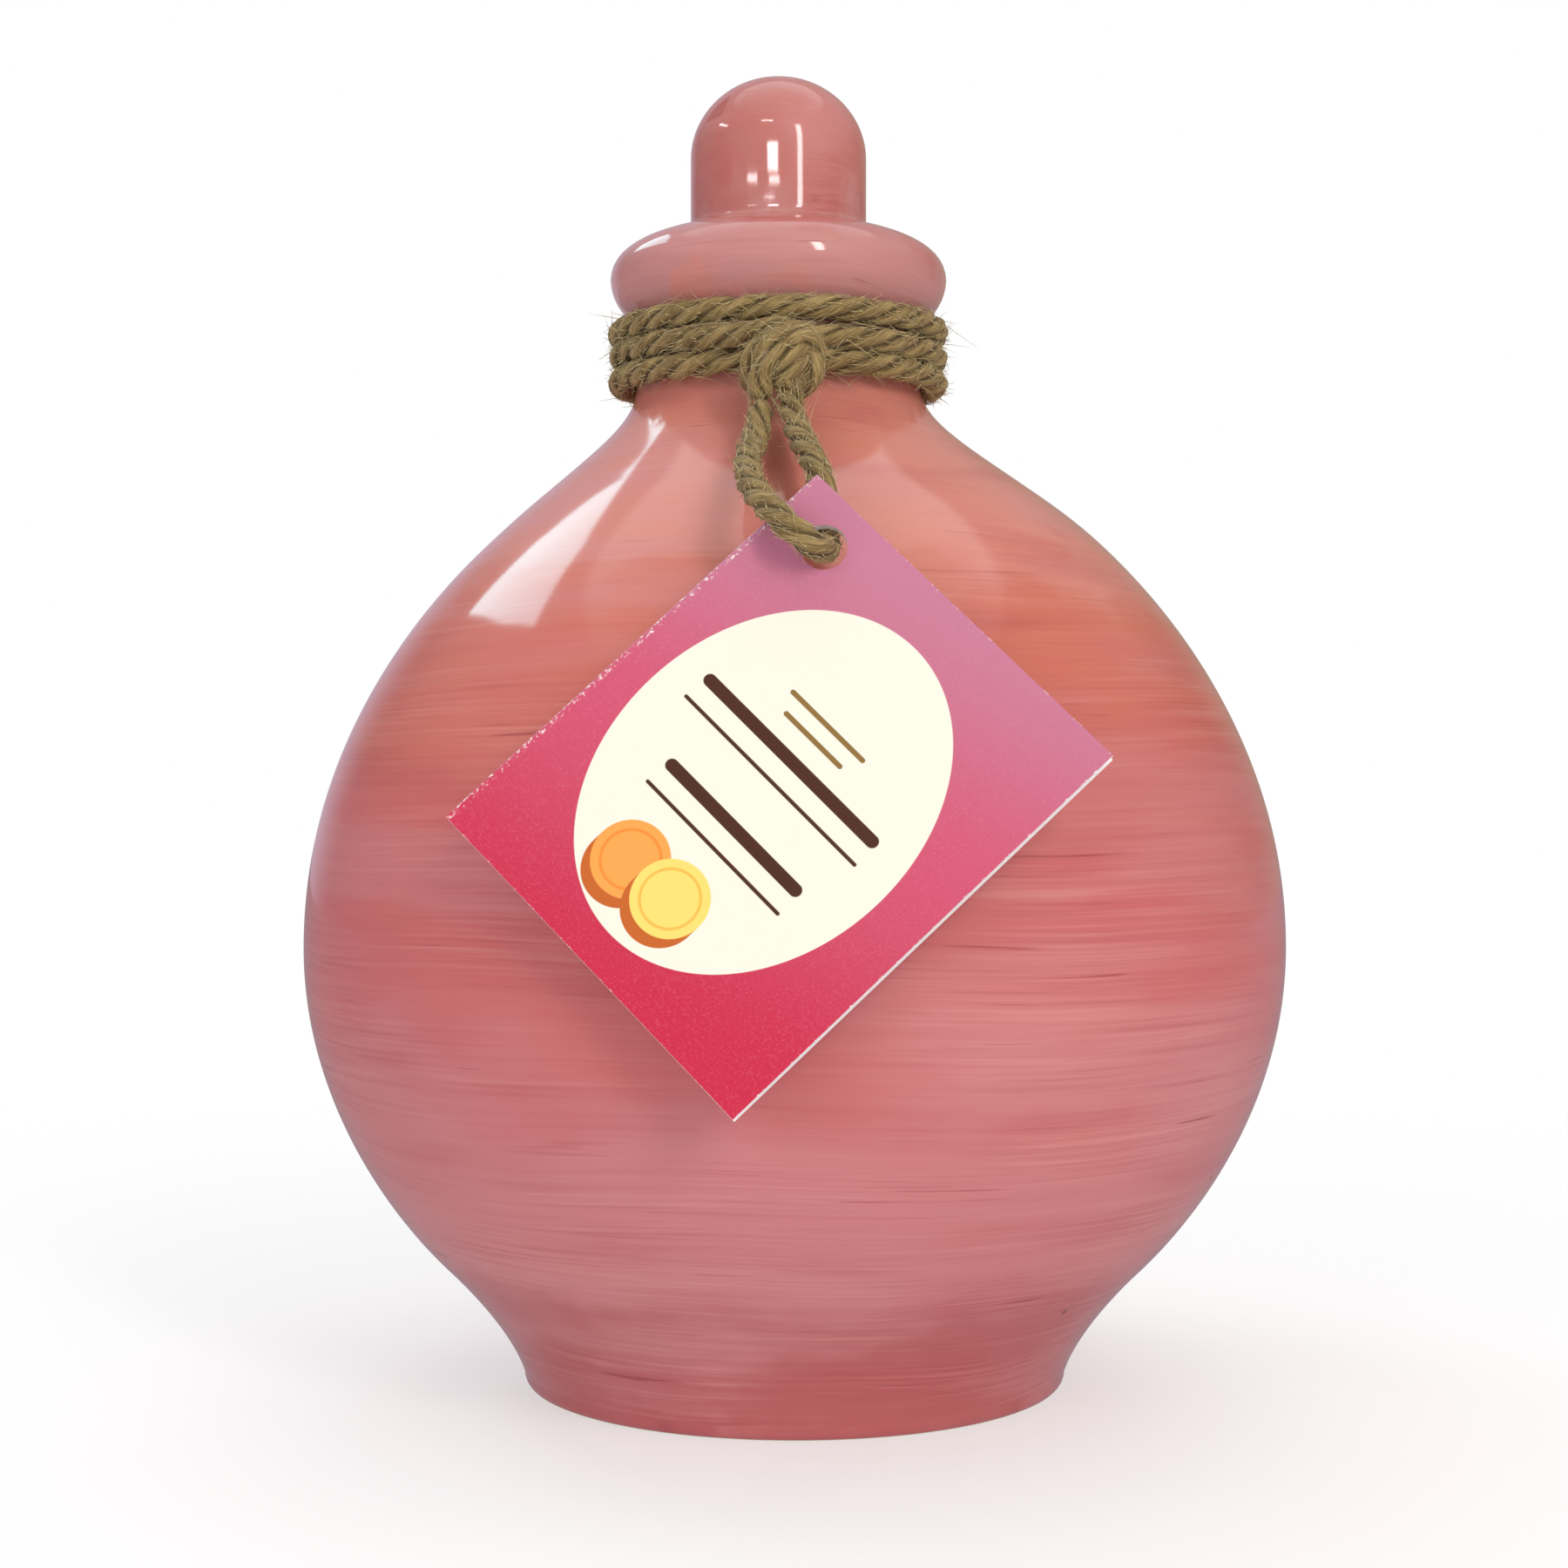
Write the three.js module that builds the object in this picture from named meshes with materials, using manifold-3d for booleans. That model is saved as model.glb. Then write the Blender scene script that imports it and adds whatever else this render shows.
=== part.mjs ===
// A hand-thrown round money pot in glazed earthenware: a hollow belly with a coin slot in its back,
// a collared neck closed by a domed knob, three turns of jute twine knotted at the front of the neck,
// and a folded card tag that hangs from the knot on a loop of the same twine.
//
// Millimetres, +Z up. The origin is the centre of the base, the front (the tag's side) faces -Y.

import * as THREE from "three";
import { mergeVertices } from "three/addons/utils/BufferGeometryUtils.js";
import Module from "manifold-3d";

const wasm = await Module();
wasm.setup();

// ---------------------------------------------------------------- driving dimensions

const HEIGHT = 170; // base to the top of the knob
const BASE_R = 35.2; // foot, just above its rounded edge
const BASE_EDGE = 1.4; // rounding of the foot's edge
const FLARE = { r: 46.1, z: 16.7 }; // where the foot's hollow curve turns into the belly
const BELLY = { r: 63.4, z: 57 }; // widest point
const SHOULDER = { r: 32.2, z: 115 }; // where the belly turns hollow towards the neck
const NECK = { r: 18.6, z: 129.6, top: 135.4 }; // the straight stretch that the twine lies on
const COLLAR = { r: 22.0, z: 143.2 }; // widest point of the collar above the twine
const KNOB = { r: 11.5, foot: 149.9, shoulder: 159.5 }; // the knob's straight side
const WALL = 4.8; // thickness of the belly's wall
const FLOOR = 6; // thickness of the base
const MOUTH_R = 8; // hole in the neck's top, which the knob's tenon fills
const TENON = { r: 7.6, foot: 141.5 };
const SLOT = { width: 36, height: 5.2, z: 84 }; // coin slot, in the back
const GAP = 0.3; // between pieces that touch
const DIVIDE_Z = BELLY.z; // where the one-piece body is divided into a lower and an upper half
const ROUND = 40; // sides of a turned piece
const LEAN = { x: -2.1, from: 108, to: 130 }; // the neck stands off the belly's axis, to the left

const TWINE_R = 1.6;
const COIL = { r: 20.6, z: 129.9, pitch: 3.25, turns: 3, endAngle: 0.24, step: 0.45 };
const KNOT = { x: -2.2, y: -25.9, z: 129.5, rx: 5.2, ry: 3.3, rz: 5.2 }; // centre and half sizes

const TAG = { length: 55.8, width: 45.5, card: 0.4, hole: 2.6, holeFromEnd: 5.4, holeFromFold: 6.4 };
const TAG_PLACE = { x: -2.0, y: -61.1, z: 77, tilt: 15, yaw: -5, turn: 44.7 }; // degrees

// The loop's centreline, from the knot's left exit down through the tag's hole and back up to its
// right exit.
const LOOP_ROUTE = [
  [-4.0, -28.8, 123.4],
  [-4.5, -31.2, 120.3],
  [-5.1, -34.8, 117.6],
  [-5.6, -39.2, 115.3],
  [-5.5, -43.8, 113.3],
  [-5.0, -48.3, 111.4],
  [-4.0, -52.6, 109.4],
  [-2.5, -56.1, 107.3],
  [-0.5, -58.2, 105.4],
  [1.4, -58.2, 104.0],
  [2.7, -56.5, 103.5],
  [3.1, -54.3, 103.6],
  [3.3, -52.2, 104.0],
  [3.4, -49.9, 105.3],
  [3.3, -48.4, 107.7],
  [3.1, -47.0, 110.4],
  [2.6, -44.8, 113.0],
  [1.8, -41.6, 115.2],
  [0.9, -37.8, 117.4],
  [0.1, -34.0, 119.8],
  [-0.5, -30.8, 122.6],
  [-0.6, -29.4, 124.6],
];

// ---------------------------------------------------------------- helpers

const material = (color, roughness) => new THREE.MeshStandardMaterial({ color, roughness, metalness: 0 });
const GLAZE = material(0xc97468, 0.12);
const JUTE = material(0x9a8660, 0.95);
const CARD = material(0xd8466e, 0.6);

function named(name, geometry, finish) {
  const mesh = new THREE.Mesh(geometry, finish);
  mesh.name = name;
  return mesh;
}

// A closed geometry as a manifold-3d solid.
function toSolid(geometry) {
  const bare = geometry.clone();
  bare.deleteAttribute("normal");
  bare.deleteAttribute("uv");
  const merged = mergeVertices(bare, 1e-3);
  return new wasm.Manifold(
    new wasm.Mesh({
      numProp: 3,
      vertProperties: merged.attributes.position.array,
      triVerts: new Uint32Array(merged.index.array),
    }),
  );
}

// A solid as a geometry again.
function toGeometry(solid) {
  const mesh = solid.getMesh();
  const geometry = new THREE.BufferGeometry();
  geometry.setAttribute("position", new THREE.BufferAttribute(mesh.vertProperties, 3));
  geometry.setIndex(new THREE.BufferAttribute(mesh.triVerts, 1));
  geometry.computeVertexNormals();
  return geometry;
}

// A body turned about Z from a profile of [radius, height] points, which starts and ends on the axis.
function turned(profile) {
  const points = profile.map(([r, z]) => new THREE.Vector2(r, z));
  return new THREE.LatheGeometry(points, ROUND).rotateX(Math.PI / 2);
}

// A turned body with its upper part carried off the axis, smoothly between two heights.
function leaned(geometry) {
  const place = geometry.attributes.position;
  for (let i = 0; i < place.count; i += 1) {
    const share = THREE.MathUtils.smoothstep(place.getZ(i), LEAN.from, LEAN.to);
    place.setX(i, place.getX(i) + LEAN.x * share);
  }
  return geometry;
}

// Points of a cubic curve, without its first one.
function curve(from, c1, c2, to, steps) {
  const bezier = new THREE.CubicBezierCurve(
    ...[from, c1, c2, to].map(([r, z]) => new THREE.Vector2(r, z)),
  );
  return bezier
    .getPoints(steps)
    .slice(1)
    .map((p) => [p.x, p.y]);
}

// The points moved sideways, towards the axis, by a distance measured square to the line.
function movedIn(points, distance) {
  return points.slice(1, -1).map(([r, z], i) => {
    const [before, after] = [points[i], points[i + 2]];
    const [dr, dz] = [after[0] - before[0], after[1] - before[1]];
    const length = Math.hypot(dr, dz);
    return [r - (dz / length) * distance, z + (dr / length) * distance];
  });
}

// ---------------------------------------------------------------- the pot

const footTop = [BASE_R, BASE_EDGE + 0.3];
const flare = [FLARE.r, FLARE.z];
const belly = [BELLY.r, BELLY.z];
const shoulder = [SHOULDER.r, SHOULDER.z];
const neckFoot = [NECK.r, NECK.z];
const neckTop = [NECK.r, NECK.top];
const collar = [COLLAR.r, COLLAR.z];

// The wall's outside from the foot to the top of the neck, low to high.
const wall = [
  footTop,
  ...curve(footTop, [36.7, 6.7], [42, 12.8], flare, 3),
  ...curve(flare, [55.9, 26.6], [BELLY.r, 41], belly, 6),
  ...curve(belly, [BELLY.r, 78], [53, 99.2], shoulder, 8),
  ...curve(shoulder, [23.9, 121.5], [NECK.r, 125], neckFoot, 3),
  neckTop,
];

// The collar, from the top of the neck over its bead to the rim of the mouth.
const collarOutside = [
  ...curve(neckTop, [NECK.r, 138.8], [21.6, 139.1], collar, 4),
  ...curve(collar, [COLLAR.r, 146.8], [18.5, 148.4], [13.2, KNOB.foot - GAP], 4),
  [MOUTH_R, KNOB.foot - GAP],
];

function potBody() {
  const inside = movedIn(wall, WALL).filter(([, z]) => z > FLOOR + 2);
  const profile = [
    [0, 0],
    [BASE_R - BASE_EDGE, 0],
    [BASE_R - BASE_EDGE * 0.3, BASE_EDGE * 0.3],
    ...wall,
    ...collarOutside,
    [MOUTH_R, 144],
    [NECK.r - WALL, 139],
    ...inside.reverse(),
    [inside.at(-1)[0] - 3, FLOOR],
    [0, FLOOR],
  ];
  const shell = toSolid(leaned(turned(profile)));
  // The slot is cut straight through the back wall, so a coin held level goes in along -Y.
  const cutter = new THREE.BoxGeometry(SLOT.width, BELLY.r, SLOT.height);
  cutter.translate(0, BELLY.r, SLOT.z);
  return shell.subtract(toSolid(cutter));
}

// The body as its lower and its upper half, with the gap of two touching pieces between them.
function potHalves() {
  const body = potBody();
  const side = 3 * BELLY.r;
  return [1, -1].map((up) => {
    const away = new THREE.BoxGeometry(side, side, HEIGHT);
    away.translate(0, 0, DIVIDE_Z + up * (HEIGHT / 2 - GAP / 2));
    return toGeometry(body.subtract(toSolid(away)));
  });
}

function crownKnob() {
  const side = [KNOB.r, KNOB.foot + 1.3];
  const profile = [
    [0, TENON.foot],
    [TENON.r, TENON.foot],
    [TENON.r, KNOB.foot],
    [KNOB.r + 1.4, KNOB.foot],
    ...curve([KNOB.r + 1.4, KNOB.foot], [KNOB.r + 0.4, KNOB.foot + 0.2], [KNOB.r, KNOB.foot + 0.6], side, 3),
    [KNOB.r, KNOB.shoulder],
    ...curve([KNOB.r, KNOB.shoulder], [KNOB.r, 165], [6.6, HEIGHT], [0, HEIGHT], 6),
  ];
  return turned(profile).translate(LEAN.x, 0, 0);
}

// ---------------------------------------------------------------- the twine

// A round section carried along a path.
function tube(path, steps) {
  const section = new THREE.Shape().absarc(0, 0, TWINE_R, 0, Math.PI * 2);
  return new THREE.ExtrudeGeometry(section, { steps, extrudePath: path, curveSegments: 4 });
}

// Level turns round the neck. Each climbs to the next one in the short stretch that the knot hides.
class CoilPath extends THREE.Curve {
  getPoint(t, target = new THREE.Vector3()) {
    const whole = COIL.turns * Math.PI * 2;
    const angle = COIL.endAngle + t * (whole - 2 * COIL.endAngle);
    let climbed = 0;
    for (let turn = 1; turn < COIL.turns; turn += 1) {
      const from = turn * Math.PI * 2 - COIL.step;
      climbed += THREE.MathUtils.smoothstep(angle, from, from + 2 * COIL.step);
    }
    return target.set(
      LEAN.x + Math.sin(angle) * COIL.r,
      -Math.cos(angle) * COIL.r,
      COIL.z + climbed * COIL.pitch,
    );
  }
}

function twineKnot() {
  const lump = new THREE.SphereGeometry(1, 14, 9).scale(KNOT.rx, KNOT.ry, KNOT.rz);
  return lump.translate(KNOT.x, KNOT.y, KNOT.z);
}

function twineLoop() {
  const path = new THREE.CatmullRomCurve3(LOOP_ROUTE.map((p) => new THREE.Vector3(...p)));
  return tube(path, 36);
}

// ---------------------------------------------------------------- the tag

// One leaf, flat in XZ with its front towards -Y. The fold is its +Z edge, the hole is near its +X end.
function leafGeometry() {
  const [l, w] = [TAG.length / 2, TAG.width / 2];
  const outline = new THREE.Shape()
    .moveTo(-l, -w)
    .lineTo(l, -w)
    .lineTo(l, w)
    .lineTo(-l, w)
    .closePath();
  const holeAt = [l - TAG.holeFromEnd, w - TAG.holeFromFold];
  outline.holes.push(new THREE.Path().absarc(...holeAt, TAG.hole, 0, Math.PI * 2, true));
  const depth = TAG.card;
  const leaf = new THREE.ExtrudeGeometry(outline, { depth, bevelEnabled: false, curveSegments: 12 });
  return leaf.rotateX(Math.PI / 2);
}

function tagGroup() {
  const front = named("tag_front_leaf", leafGeometry(), CARD);
  const back = named("tag_back_leaf", leafGeometry(), CARD);
  front.position.y = -GAP / 2;
  back.position.y = TAG.card + GAP / 2;
  const turn = new THREE.Group().add(front, back);
  turn.rotation.y = -THREE.MathUtils.degToRad(TAG_PLACE.turn);
  const lean = new THREE.Group().add(turn);
  lean.rotation.x = -THREE.MathUtils.degToRad(TAG_PLACE.tilt);
  const place = new THREE.Group().add(lean);
  place.rotation.z = THREE.MathUtils.degToRad(TAG_PLACE.yaw);
  place.position.set(TAG_PLACE.x, TAG_PLACE.y, TAG_PLACE.z);
  return place;
}

// ---------------------------------------------------------------- the assembly

const [lowerHalf, upperHalf] = potHalves();
const moneyPot = new THREE.Group();
moneyPot.add(
  named("pot_lower_half", lowerHalf, GLAZE),
  named("pot_upper_half", upperHalf, GLAZE),
  named("crown_knob", crownKnob(), GLAZE),
  named("twine_coil", tube(new CoilPath(), 78), JUTE),
  named("twine_knot", twineKnot(), JUTE),
  named("twine_loop", twineLoop(), JUTE),
  tagGroup(),
);

export default moneyPot;
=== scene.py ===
"""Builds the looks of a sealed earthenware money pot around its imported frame.

The pot and its knob are turned surfaces, the twine is a three-ply cord carried along its route,
and the tag is a folded card with a printed front.
"""

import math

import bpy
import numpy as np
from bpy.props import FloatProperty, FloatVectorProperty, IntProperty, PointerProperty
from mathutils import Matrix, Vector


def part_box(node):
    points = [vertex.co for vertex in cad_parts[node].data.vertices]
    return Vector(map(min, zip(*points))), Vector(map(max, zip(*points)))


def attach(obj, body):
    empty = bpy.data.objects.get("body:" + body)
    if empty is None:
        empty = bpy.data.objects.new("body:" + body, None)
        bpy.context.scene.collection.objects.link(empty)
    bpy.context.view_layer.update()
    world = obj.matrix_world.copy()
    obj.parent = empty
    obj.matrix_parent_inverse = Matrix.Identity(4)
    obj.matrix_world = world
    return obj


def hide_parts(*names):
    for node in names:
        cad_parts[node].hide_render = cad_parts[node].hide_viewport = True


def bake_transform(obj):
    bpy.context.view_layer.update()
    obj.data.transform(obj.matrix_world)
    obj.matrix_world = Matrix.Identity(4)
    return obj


bl_info = {
    "name": "Earthenware Money Pot",
    "version": (1, 0, 0),
    "blender": (4, 5, 0),
    "location": "View3D > Sidebar > Money Pot",
    "description": "Glazed money pot with a jute twine collar and a folded card tag",
    "category": "Object",
}

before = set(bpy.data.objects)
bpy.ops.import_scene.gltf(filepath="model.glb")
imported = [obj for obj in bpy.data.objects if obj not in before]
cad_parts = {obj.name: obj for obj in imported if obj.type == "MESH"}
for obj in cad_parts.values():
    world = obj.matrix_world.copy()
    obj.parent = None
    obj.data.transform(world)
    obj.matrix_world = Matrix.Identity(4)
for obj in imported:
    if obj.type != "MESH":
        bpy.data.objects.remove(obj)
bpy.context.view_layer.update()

MM = 0.001
TAU = 2 * math.pi

# ------------------------------------------------------------------ sizes, in millimetres

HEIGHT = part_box("crown_knob")[1].z / MM
BASE_R = 35.2
BASE_EDGE = 1.4
FLARE = (46.1, 16.7)
BELLY = (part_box("pot_lower_half")[1].x / MM, 57.0)
SHOULDER = (32.2, 115.0)
NECK = (18.6, 129.6)
NECK_TOP = 135.4
COLLAR = (22.0, 143.2)
KNOB_R = 11.5
KNOB_FOOT = 149.9
KNOB_SHOULDER = 159.5
WALL = 4.8
FLOOR = 6.0
MOUTH_R = 8.0
TENON = (7.6, 141.5)
LEAN = {"x": -2.1, "from": 108.0, "to": 130.0}
SLOT = {"width": 36.0, "height": 5.2, "z": 84.0, "corner": 2.3, "lip": 1.0}

TWINE_R = 1.6
COIL = {"r": 20.6, "z": 129.9, "pitch": 3.25, "turns": 3}

# The loop's centreline, from the knot's left exit down through the tag's hole and back up to its
# right exit.
LOOP_ROUTE = [
    (-4.0, -28.8, 123.4),
    (-4.5, -31.2, 120.3),
    (-5.1, -34.8, 117.6),
    (-5.6, -39.2, 115.3),
    (-5.5, -43.8, 113.3),
    (-5.0, -48.3, 111.4),
    (-4.0, -52.6, 109.4),
    (-2.5, -56.1, 107.3),
    (-0.5, -58.2, 105.4),
    (1.4, -58.2, 104.0),
    (2.7, -56.5, 103.5),
    (3.1, -54.3, 103.6),
    (3.3, -52.2, 104.0),
    (3.4, -49.9, 105.3),
    (3.3, -48.4, 107.7),
    (3.1, -47.0, 110.4),
    (2.6, -44.8, 113.0),
    (1.8, -41.6, 115.2),
    (0.9, -37.8, 117.4),
    (0.1, -34.0, 119.8),
    (-0.5, -30.8, 122.6),
    (-0.6, -29.4, 124.6),
]

# The knot's strands, one open route each, laid over each other from the neck outwards.
KNOT_STRANDS = [
    # the middle turn, drawn up from the left over the top of the knot
    [(-13.6, -17.2, 132.6), (-10.8, -19.6, 132.7), (-7.6, -21.8, 132.8), (-4.2, -24.0, 132.9),
     (-1.0, -25.4, 132.8), (1.4, -25.4, 132.0), (2.8, -24.2, 130.8)],
    # the broad strand that rises at the left, crosses over and goes down the right side
    [(-4.6, -23.2, 125.6), (-5.4, -25.4, 127.2), (-5.0, -27.0, 129.0), (-3.4, -28.0, 130.5),
     (-1.1, -28.3, 131.3), (1.0, -27.6, 131.4), (2.2, -26.7, 130.0), (2.1, -26.5, 128.0),
     (1.2, -26.3, 126.2), (-0.3, -25.6, 125.0), (-1.8, -24.2, 124.8)],
    # the strand that comes out from under it and turns down into the left leg
    [(1.0, -25.6, 130.2), (0.2, -27.6, 129.7), (-1.3, -29.0, 129.1), (-3.0, -29.6, 128.1),
     (-4.1, -29.4, 126.6), (-4.2, -29.0, 124.9), (-4.0, -28.8, 123.5)],
    # the lump below it, tucked in at the right
    [(0.9, -26.2, 129.0), (0.2, -27.9, 128.0), (-1.1, -28.6, 127.1), (-2.6, -28.2, 126.6),
     (-3.6, -26.6, 126.6)],
    # the start of the right leg
    [(-1.3, -26.4, 127.4), (-1.0, -27.9, 126.2), (-0.7, -29.2, 124.8)],
]

TAG = {"length": 55.8, "width": 45.5, "card": 0.4, "hole": 2.6, "from_end": 5.4, "from_fold": 6.4, "gap": 0.3}
TAG_PLACE = {"at": (-2.0, -61.1, 77.0), "tilt": 15.0, "yaw": -5.0, "turn": 44.7}


# ------------------------------------------------------------------ colour and node helpers


def linear(code):
    """An sRGB hex colour as linear red, green, blue and an alpha of one."""
    channels = [int(code[i : i + 2], 16) / 255 for i in (1, 3, 5)]
    return [c / 12.92 if c <= 0.04045 else ((c + 0.055) / 1.055) ** 2.4 for c in channels] + [1.0]


def add_node(tree, kind, settings, inputs):
    """Adds a node with its settings, and gives each input a value or a link."""
    node = tree.nodes.new(kind)
    for name, value in settings.items():
        setattr(node, name, value)
    for key, value in inputs.items():
        if isinstance(value, bpy.types.NodeSocket):
            tree.links.new(value, node.inputs[key])
        else:
            node.inputs[key].default_value = value
    return node


def new_material(name):
    """An empty node material, and the tree that its nodes go in."""
    material = bpy.data.materials.new(name)
    material.use_nodes = True
    material.node_tree.nodes.clear()
    return material, material.node_tree


def finish_material(tree, shader):
    """Links the shader to the surface."""
    add_node(tree, "ShaderNodeOutputMaterial", {}, {"Surface": shader.outputs[0]})


def scalar(tree, operation, a, b=0.0, c=0.0, clamp=False):
    """One step of arithmetic."""
    inputs = {0: a, 1: b, 2: c}
    return add_node(tree, "ShaderNodeMath", {"operation": operation, "use_clamp": clamp}, inputs).outputs[0]


def ramp(tree, value, low, high, out_low=0.0, out_high=1.0):
    """A value carried smoothly from one range to another."""
    settings = {"interpolation_type": "SMOOTHSTEP"}
    inputs = {"Value": value, 1: low, 2: high, 3: out_low, 4: out_high}
    return add_node(tree, "ShaderNodeMapRange", settings, inputs).outputs[0]


def blend_colour(tree, amount, a, b, mode="MIX"):
    """Two colours mixed by an amount."""
    settings = {"data_type": "RGBA", "blend_type": mode, "clamp_factor": True}
    return add_node(tree, "ShaderNodeMix", settings, {0: amount, 6: a, 7: b}).outputs[2]


def noise(tree, vector, size, detail=3.0, roughness=0.55, offset=(0, 0, 0)):
    """Noise whose grain has the given size, in metres, along each axis of the vector."""
    scale = tuple(1 / s for s in size)
    placed = add_node(tree, "ShaderNodeMapping", {}, {"Vector": vector, "Location": offset, "Scale": scale})
    inputs = {"Vector": placed.outputs[0], "Scale": 1.0, "Detail": detail, "Roughness": roughness}
    return add_node(tree, "ShaderNodeTexNoise", {}, inputs).outputs["Fac"]


# ------------------------------------------------------------------ surface helpers


def cubic(start, pull_1, pull_2, end, steps):
    """A cubic curve: the four points weighted by the Bernstein polynomials of the parameter."""
    t = np.linspace(0, 1, steps + 1)[:, None]
    p = [np.array(v, float) for v in (start, pull_1, pull_2, end)]
    return (1 - t) ** 3 * p[0] + 3 * (1 - t) ** 2 * t * p[1] + 3 * (1 - t) * t**2 * p[2] + t**3 * p[3]


def chain(*stretches):
    """Stretches of an outline joined end to end, each shared point kept once."""
    points = [np.atleast_2d(np.array(stretches[0], float))]
    for stretch in stretches[1:]:
        stretch = np.atleast_2d(np.array(stretch, float))
        same = np.allclose(points[-1][-1], stretch[0], atol=1e-6)
        points.append(stretch[1:] if same else stretch)
    return np.concatenate(points)


def along(points):
    """Distance along a line of points: the running sum of its steps."""
    return np.concatenate([[0], np.cumsum(np.linalg.norm(np.diff(points, axis=0), axis=1))])


def spaced(points, step):
    """The same line with its points evenly apart, by linear interpolation over its length."""
    s = along(points)
    even = np.linspace(0, s[-1], max(2, int(round(s[-1] / step)) + 1))
    return np.stack([np.interp(even, s, points[:, k]) for k in range(points.shape[1])], axis=1)


def smooth_route(points, step):
    """A centripetal Catmull-Rom curve through the points, with even steps.

    Each stretch is blended twice between its neighbours' straight lines, with knots that grow by
    the square root of the distance between points.
    """
    p = np.array(points, float)
    p = np.concatenate([[2 * p[0] - p[1]], p, [2 * p[-1] - p[-2]]])
    knots = np.concatenate([[0], np.cumsum(np.linalg.norm(np.diff(p, axis=0), axis=1) ** 0.5)])
    stretches = []
    for i in range(1, len(p) - 2):
        t0, t1, t2, t3 = knots[i - 1 : i + 3]
        t = np.linspace(t1, t2, 24)[:, None]
        a1 = ((t1 - t) * p[i - 1] + (t - t0) * p[i]) / (t1 - t0)
        a2 = ((t2 - t) * p[i] + (t - t1) * p[i + 1]) / (t2 - t1)
        a3 = ((t3 - t) * p[i + 1] + (t - t2) * p[i + 2]) / (t3 - t2)
        b1 = ((t2 - t) * a1 + (t - t0) * a2) / (t2 - t0)
        b2 = ((t3 - t) * a2 + (t - t1) * a3) / (t3 - t1)
        stretches.append(((t2 - t) * b1 + (t - t1) * b2) / (t2 - t1))
    return spaced(chain(*stretches), step)


def grid_faces(rows, columns, first=0, closed=True):
    """Quads between neighbouring rows of a grid whose rows close on themselves, or don't."""
    j, i = np.meshgrid(np.arange(rows - 1), np.arange(columns if closed else columns - 1), indexing="ij")
    k = (i + 1) % columns
    quads = np.stack([j * columns + i, j * columns + k, (j + 1) * columns + k, (j + 1) * columns + i], axis=-1)
    return quads.reshape(-1, 4) + first


def new_piece(name, points, faces, material, sharp=None):
    """A mesh object at the origin, from points in millimetres and arrays of faces."""
    mesh = bpy.data.meshes.new(name)
    polygons = [face for array in faces for face in np.asarray(array).tolist()]
    mesh.from_pydata((np.asarray(points) * MM).tolist(), [], polygons)
    mesh.validate()
    mesh.polygons.foreach_set("use_smooth", np.ones(len(mesh.polygons), bool))
    if sharp is not None:
        mesh.set_sharp_from_angle(angle=math.radians(sharp))
    for one in material if isinstance(material, list) else [material]:
        mesh.materials.append(one)
    piece = bpy.data.objects.new(name, mesh)
    bpy.context.scene.collection.objects.link(piece)
    return piece


def set_vectors(piece, name, values):
    """A vector for each vertex, kept as the attribute of that name."""
    attribute = piece.data.attributes.new(name, "FLOAT_VECTOR", "POINT")
    attribute.data.foreach_set("vector", np.asarray(values, np.float32).ravel())


# ------------------------------------------------------------------ the pot's shape


def wall_outside():
    """The wall from the foot's edge to the top of the neck: four cubic curves and a straight neck."""
    foot_top = (BASE_R, BASE_EDGE + 0.3)
    return chain(
        cubic(foot_top, (36.7, 6.7), (42, 12.8), FLARE, 40),
        cubic(FLARE, (55.9, 26.6), (BELLY[0], 41), BELLY, 60),
        cubic(BELLY, (BELLY[0], 78), (53, 99.2), SHOULDER, 80),
        cubic(SHOULDER, (23.9, 121.5), (NECK[0], 125), NECK, 40),
        [NECK, (NECK[0], NECK_TOP)],
    )


def collar_outside():
    """The collar's bead and its top, down to the rim of the mouth."""
    return chain(
        cubic((NECK[0], NECK_TOP), (NECK[0], 138.8), (21.6, 139.1), COLLAR, 30),
        cubic(COLLAR, (COLLAR[0], 146.8), (18.5, 148.4), (13.2, KNOB_FOOT - 0.3), 30),
        [(13.2, KNOB_FOOT - 0.3), (MOUTH_R, KNOB_FOOT - 0.3)],
    )


def moved_in(points, distance):
    """The line moved square to itself, towards the axis."""
    step = np.gradient(points, axis=0)
    step /= np.linalg.norm(step, axis=1)[:, None]
    return points + distance * np.stack([-step[:, 1], step[:, 0]], axis=1)


def rounded_slot(x, z, half_width, half_height, corner):
    """Points of a rectangle pulled onto one with round corners: each is clamped to the inner
    rectangle, and set back out from there by the corner's radius."""
    core = np.array([half_width - corner, half_height - corner])
    p = np.stack([x, z], axis=-1)
    q = np.clip(p, -core, core)
    away = p - q
    return q + corner * away / np.linalg.norm(away, axis=-1, keepdims=True)


def leaned(points):
    """The points of the neck and above it moved sideways, by a smooth step of their height."""
    t = np.clip((points[:, 2] - LEAN["from"]) / (LEAN["to"] - LEAN["from"]), 0, 1)
    return points + np.stack([LEAN["x"] * t * t * (3 - 2 * t), 0 * t, 0 * t], axis=1)


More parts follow.
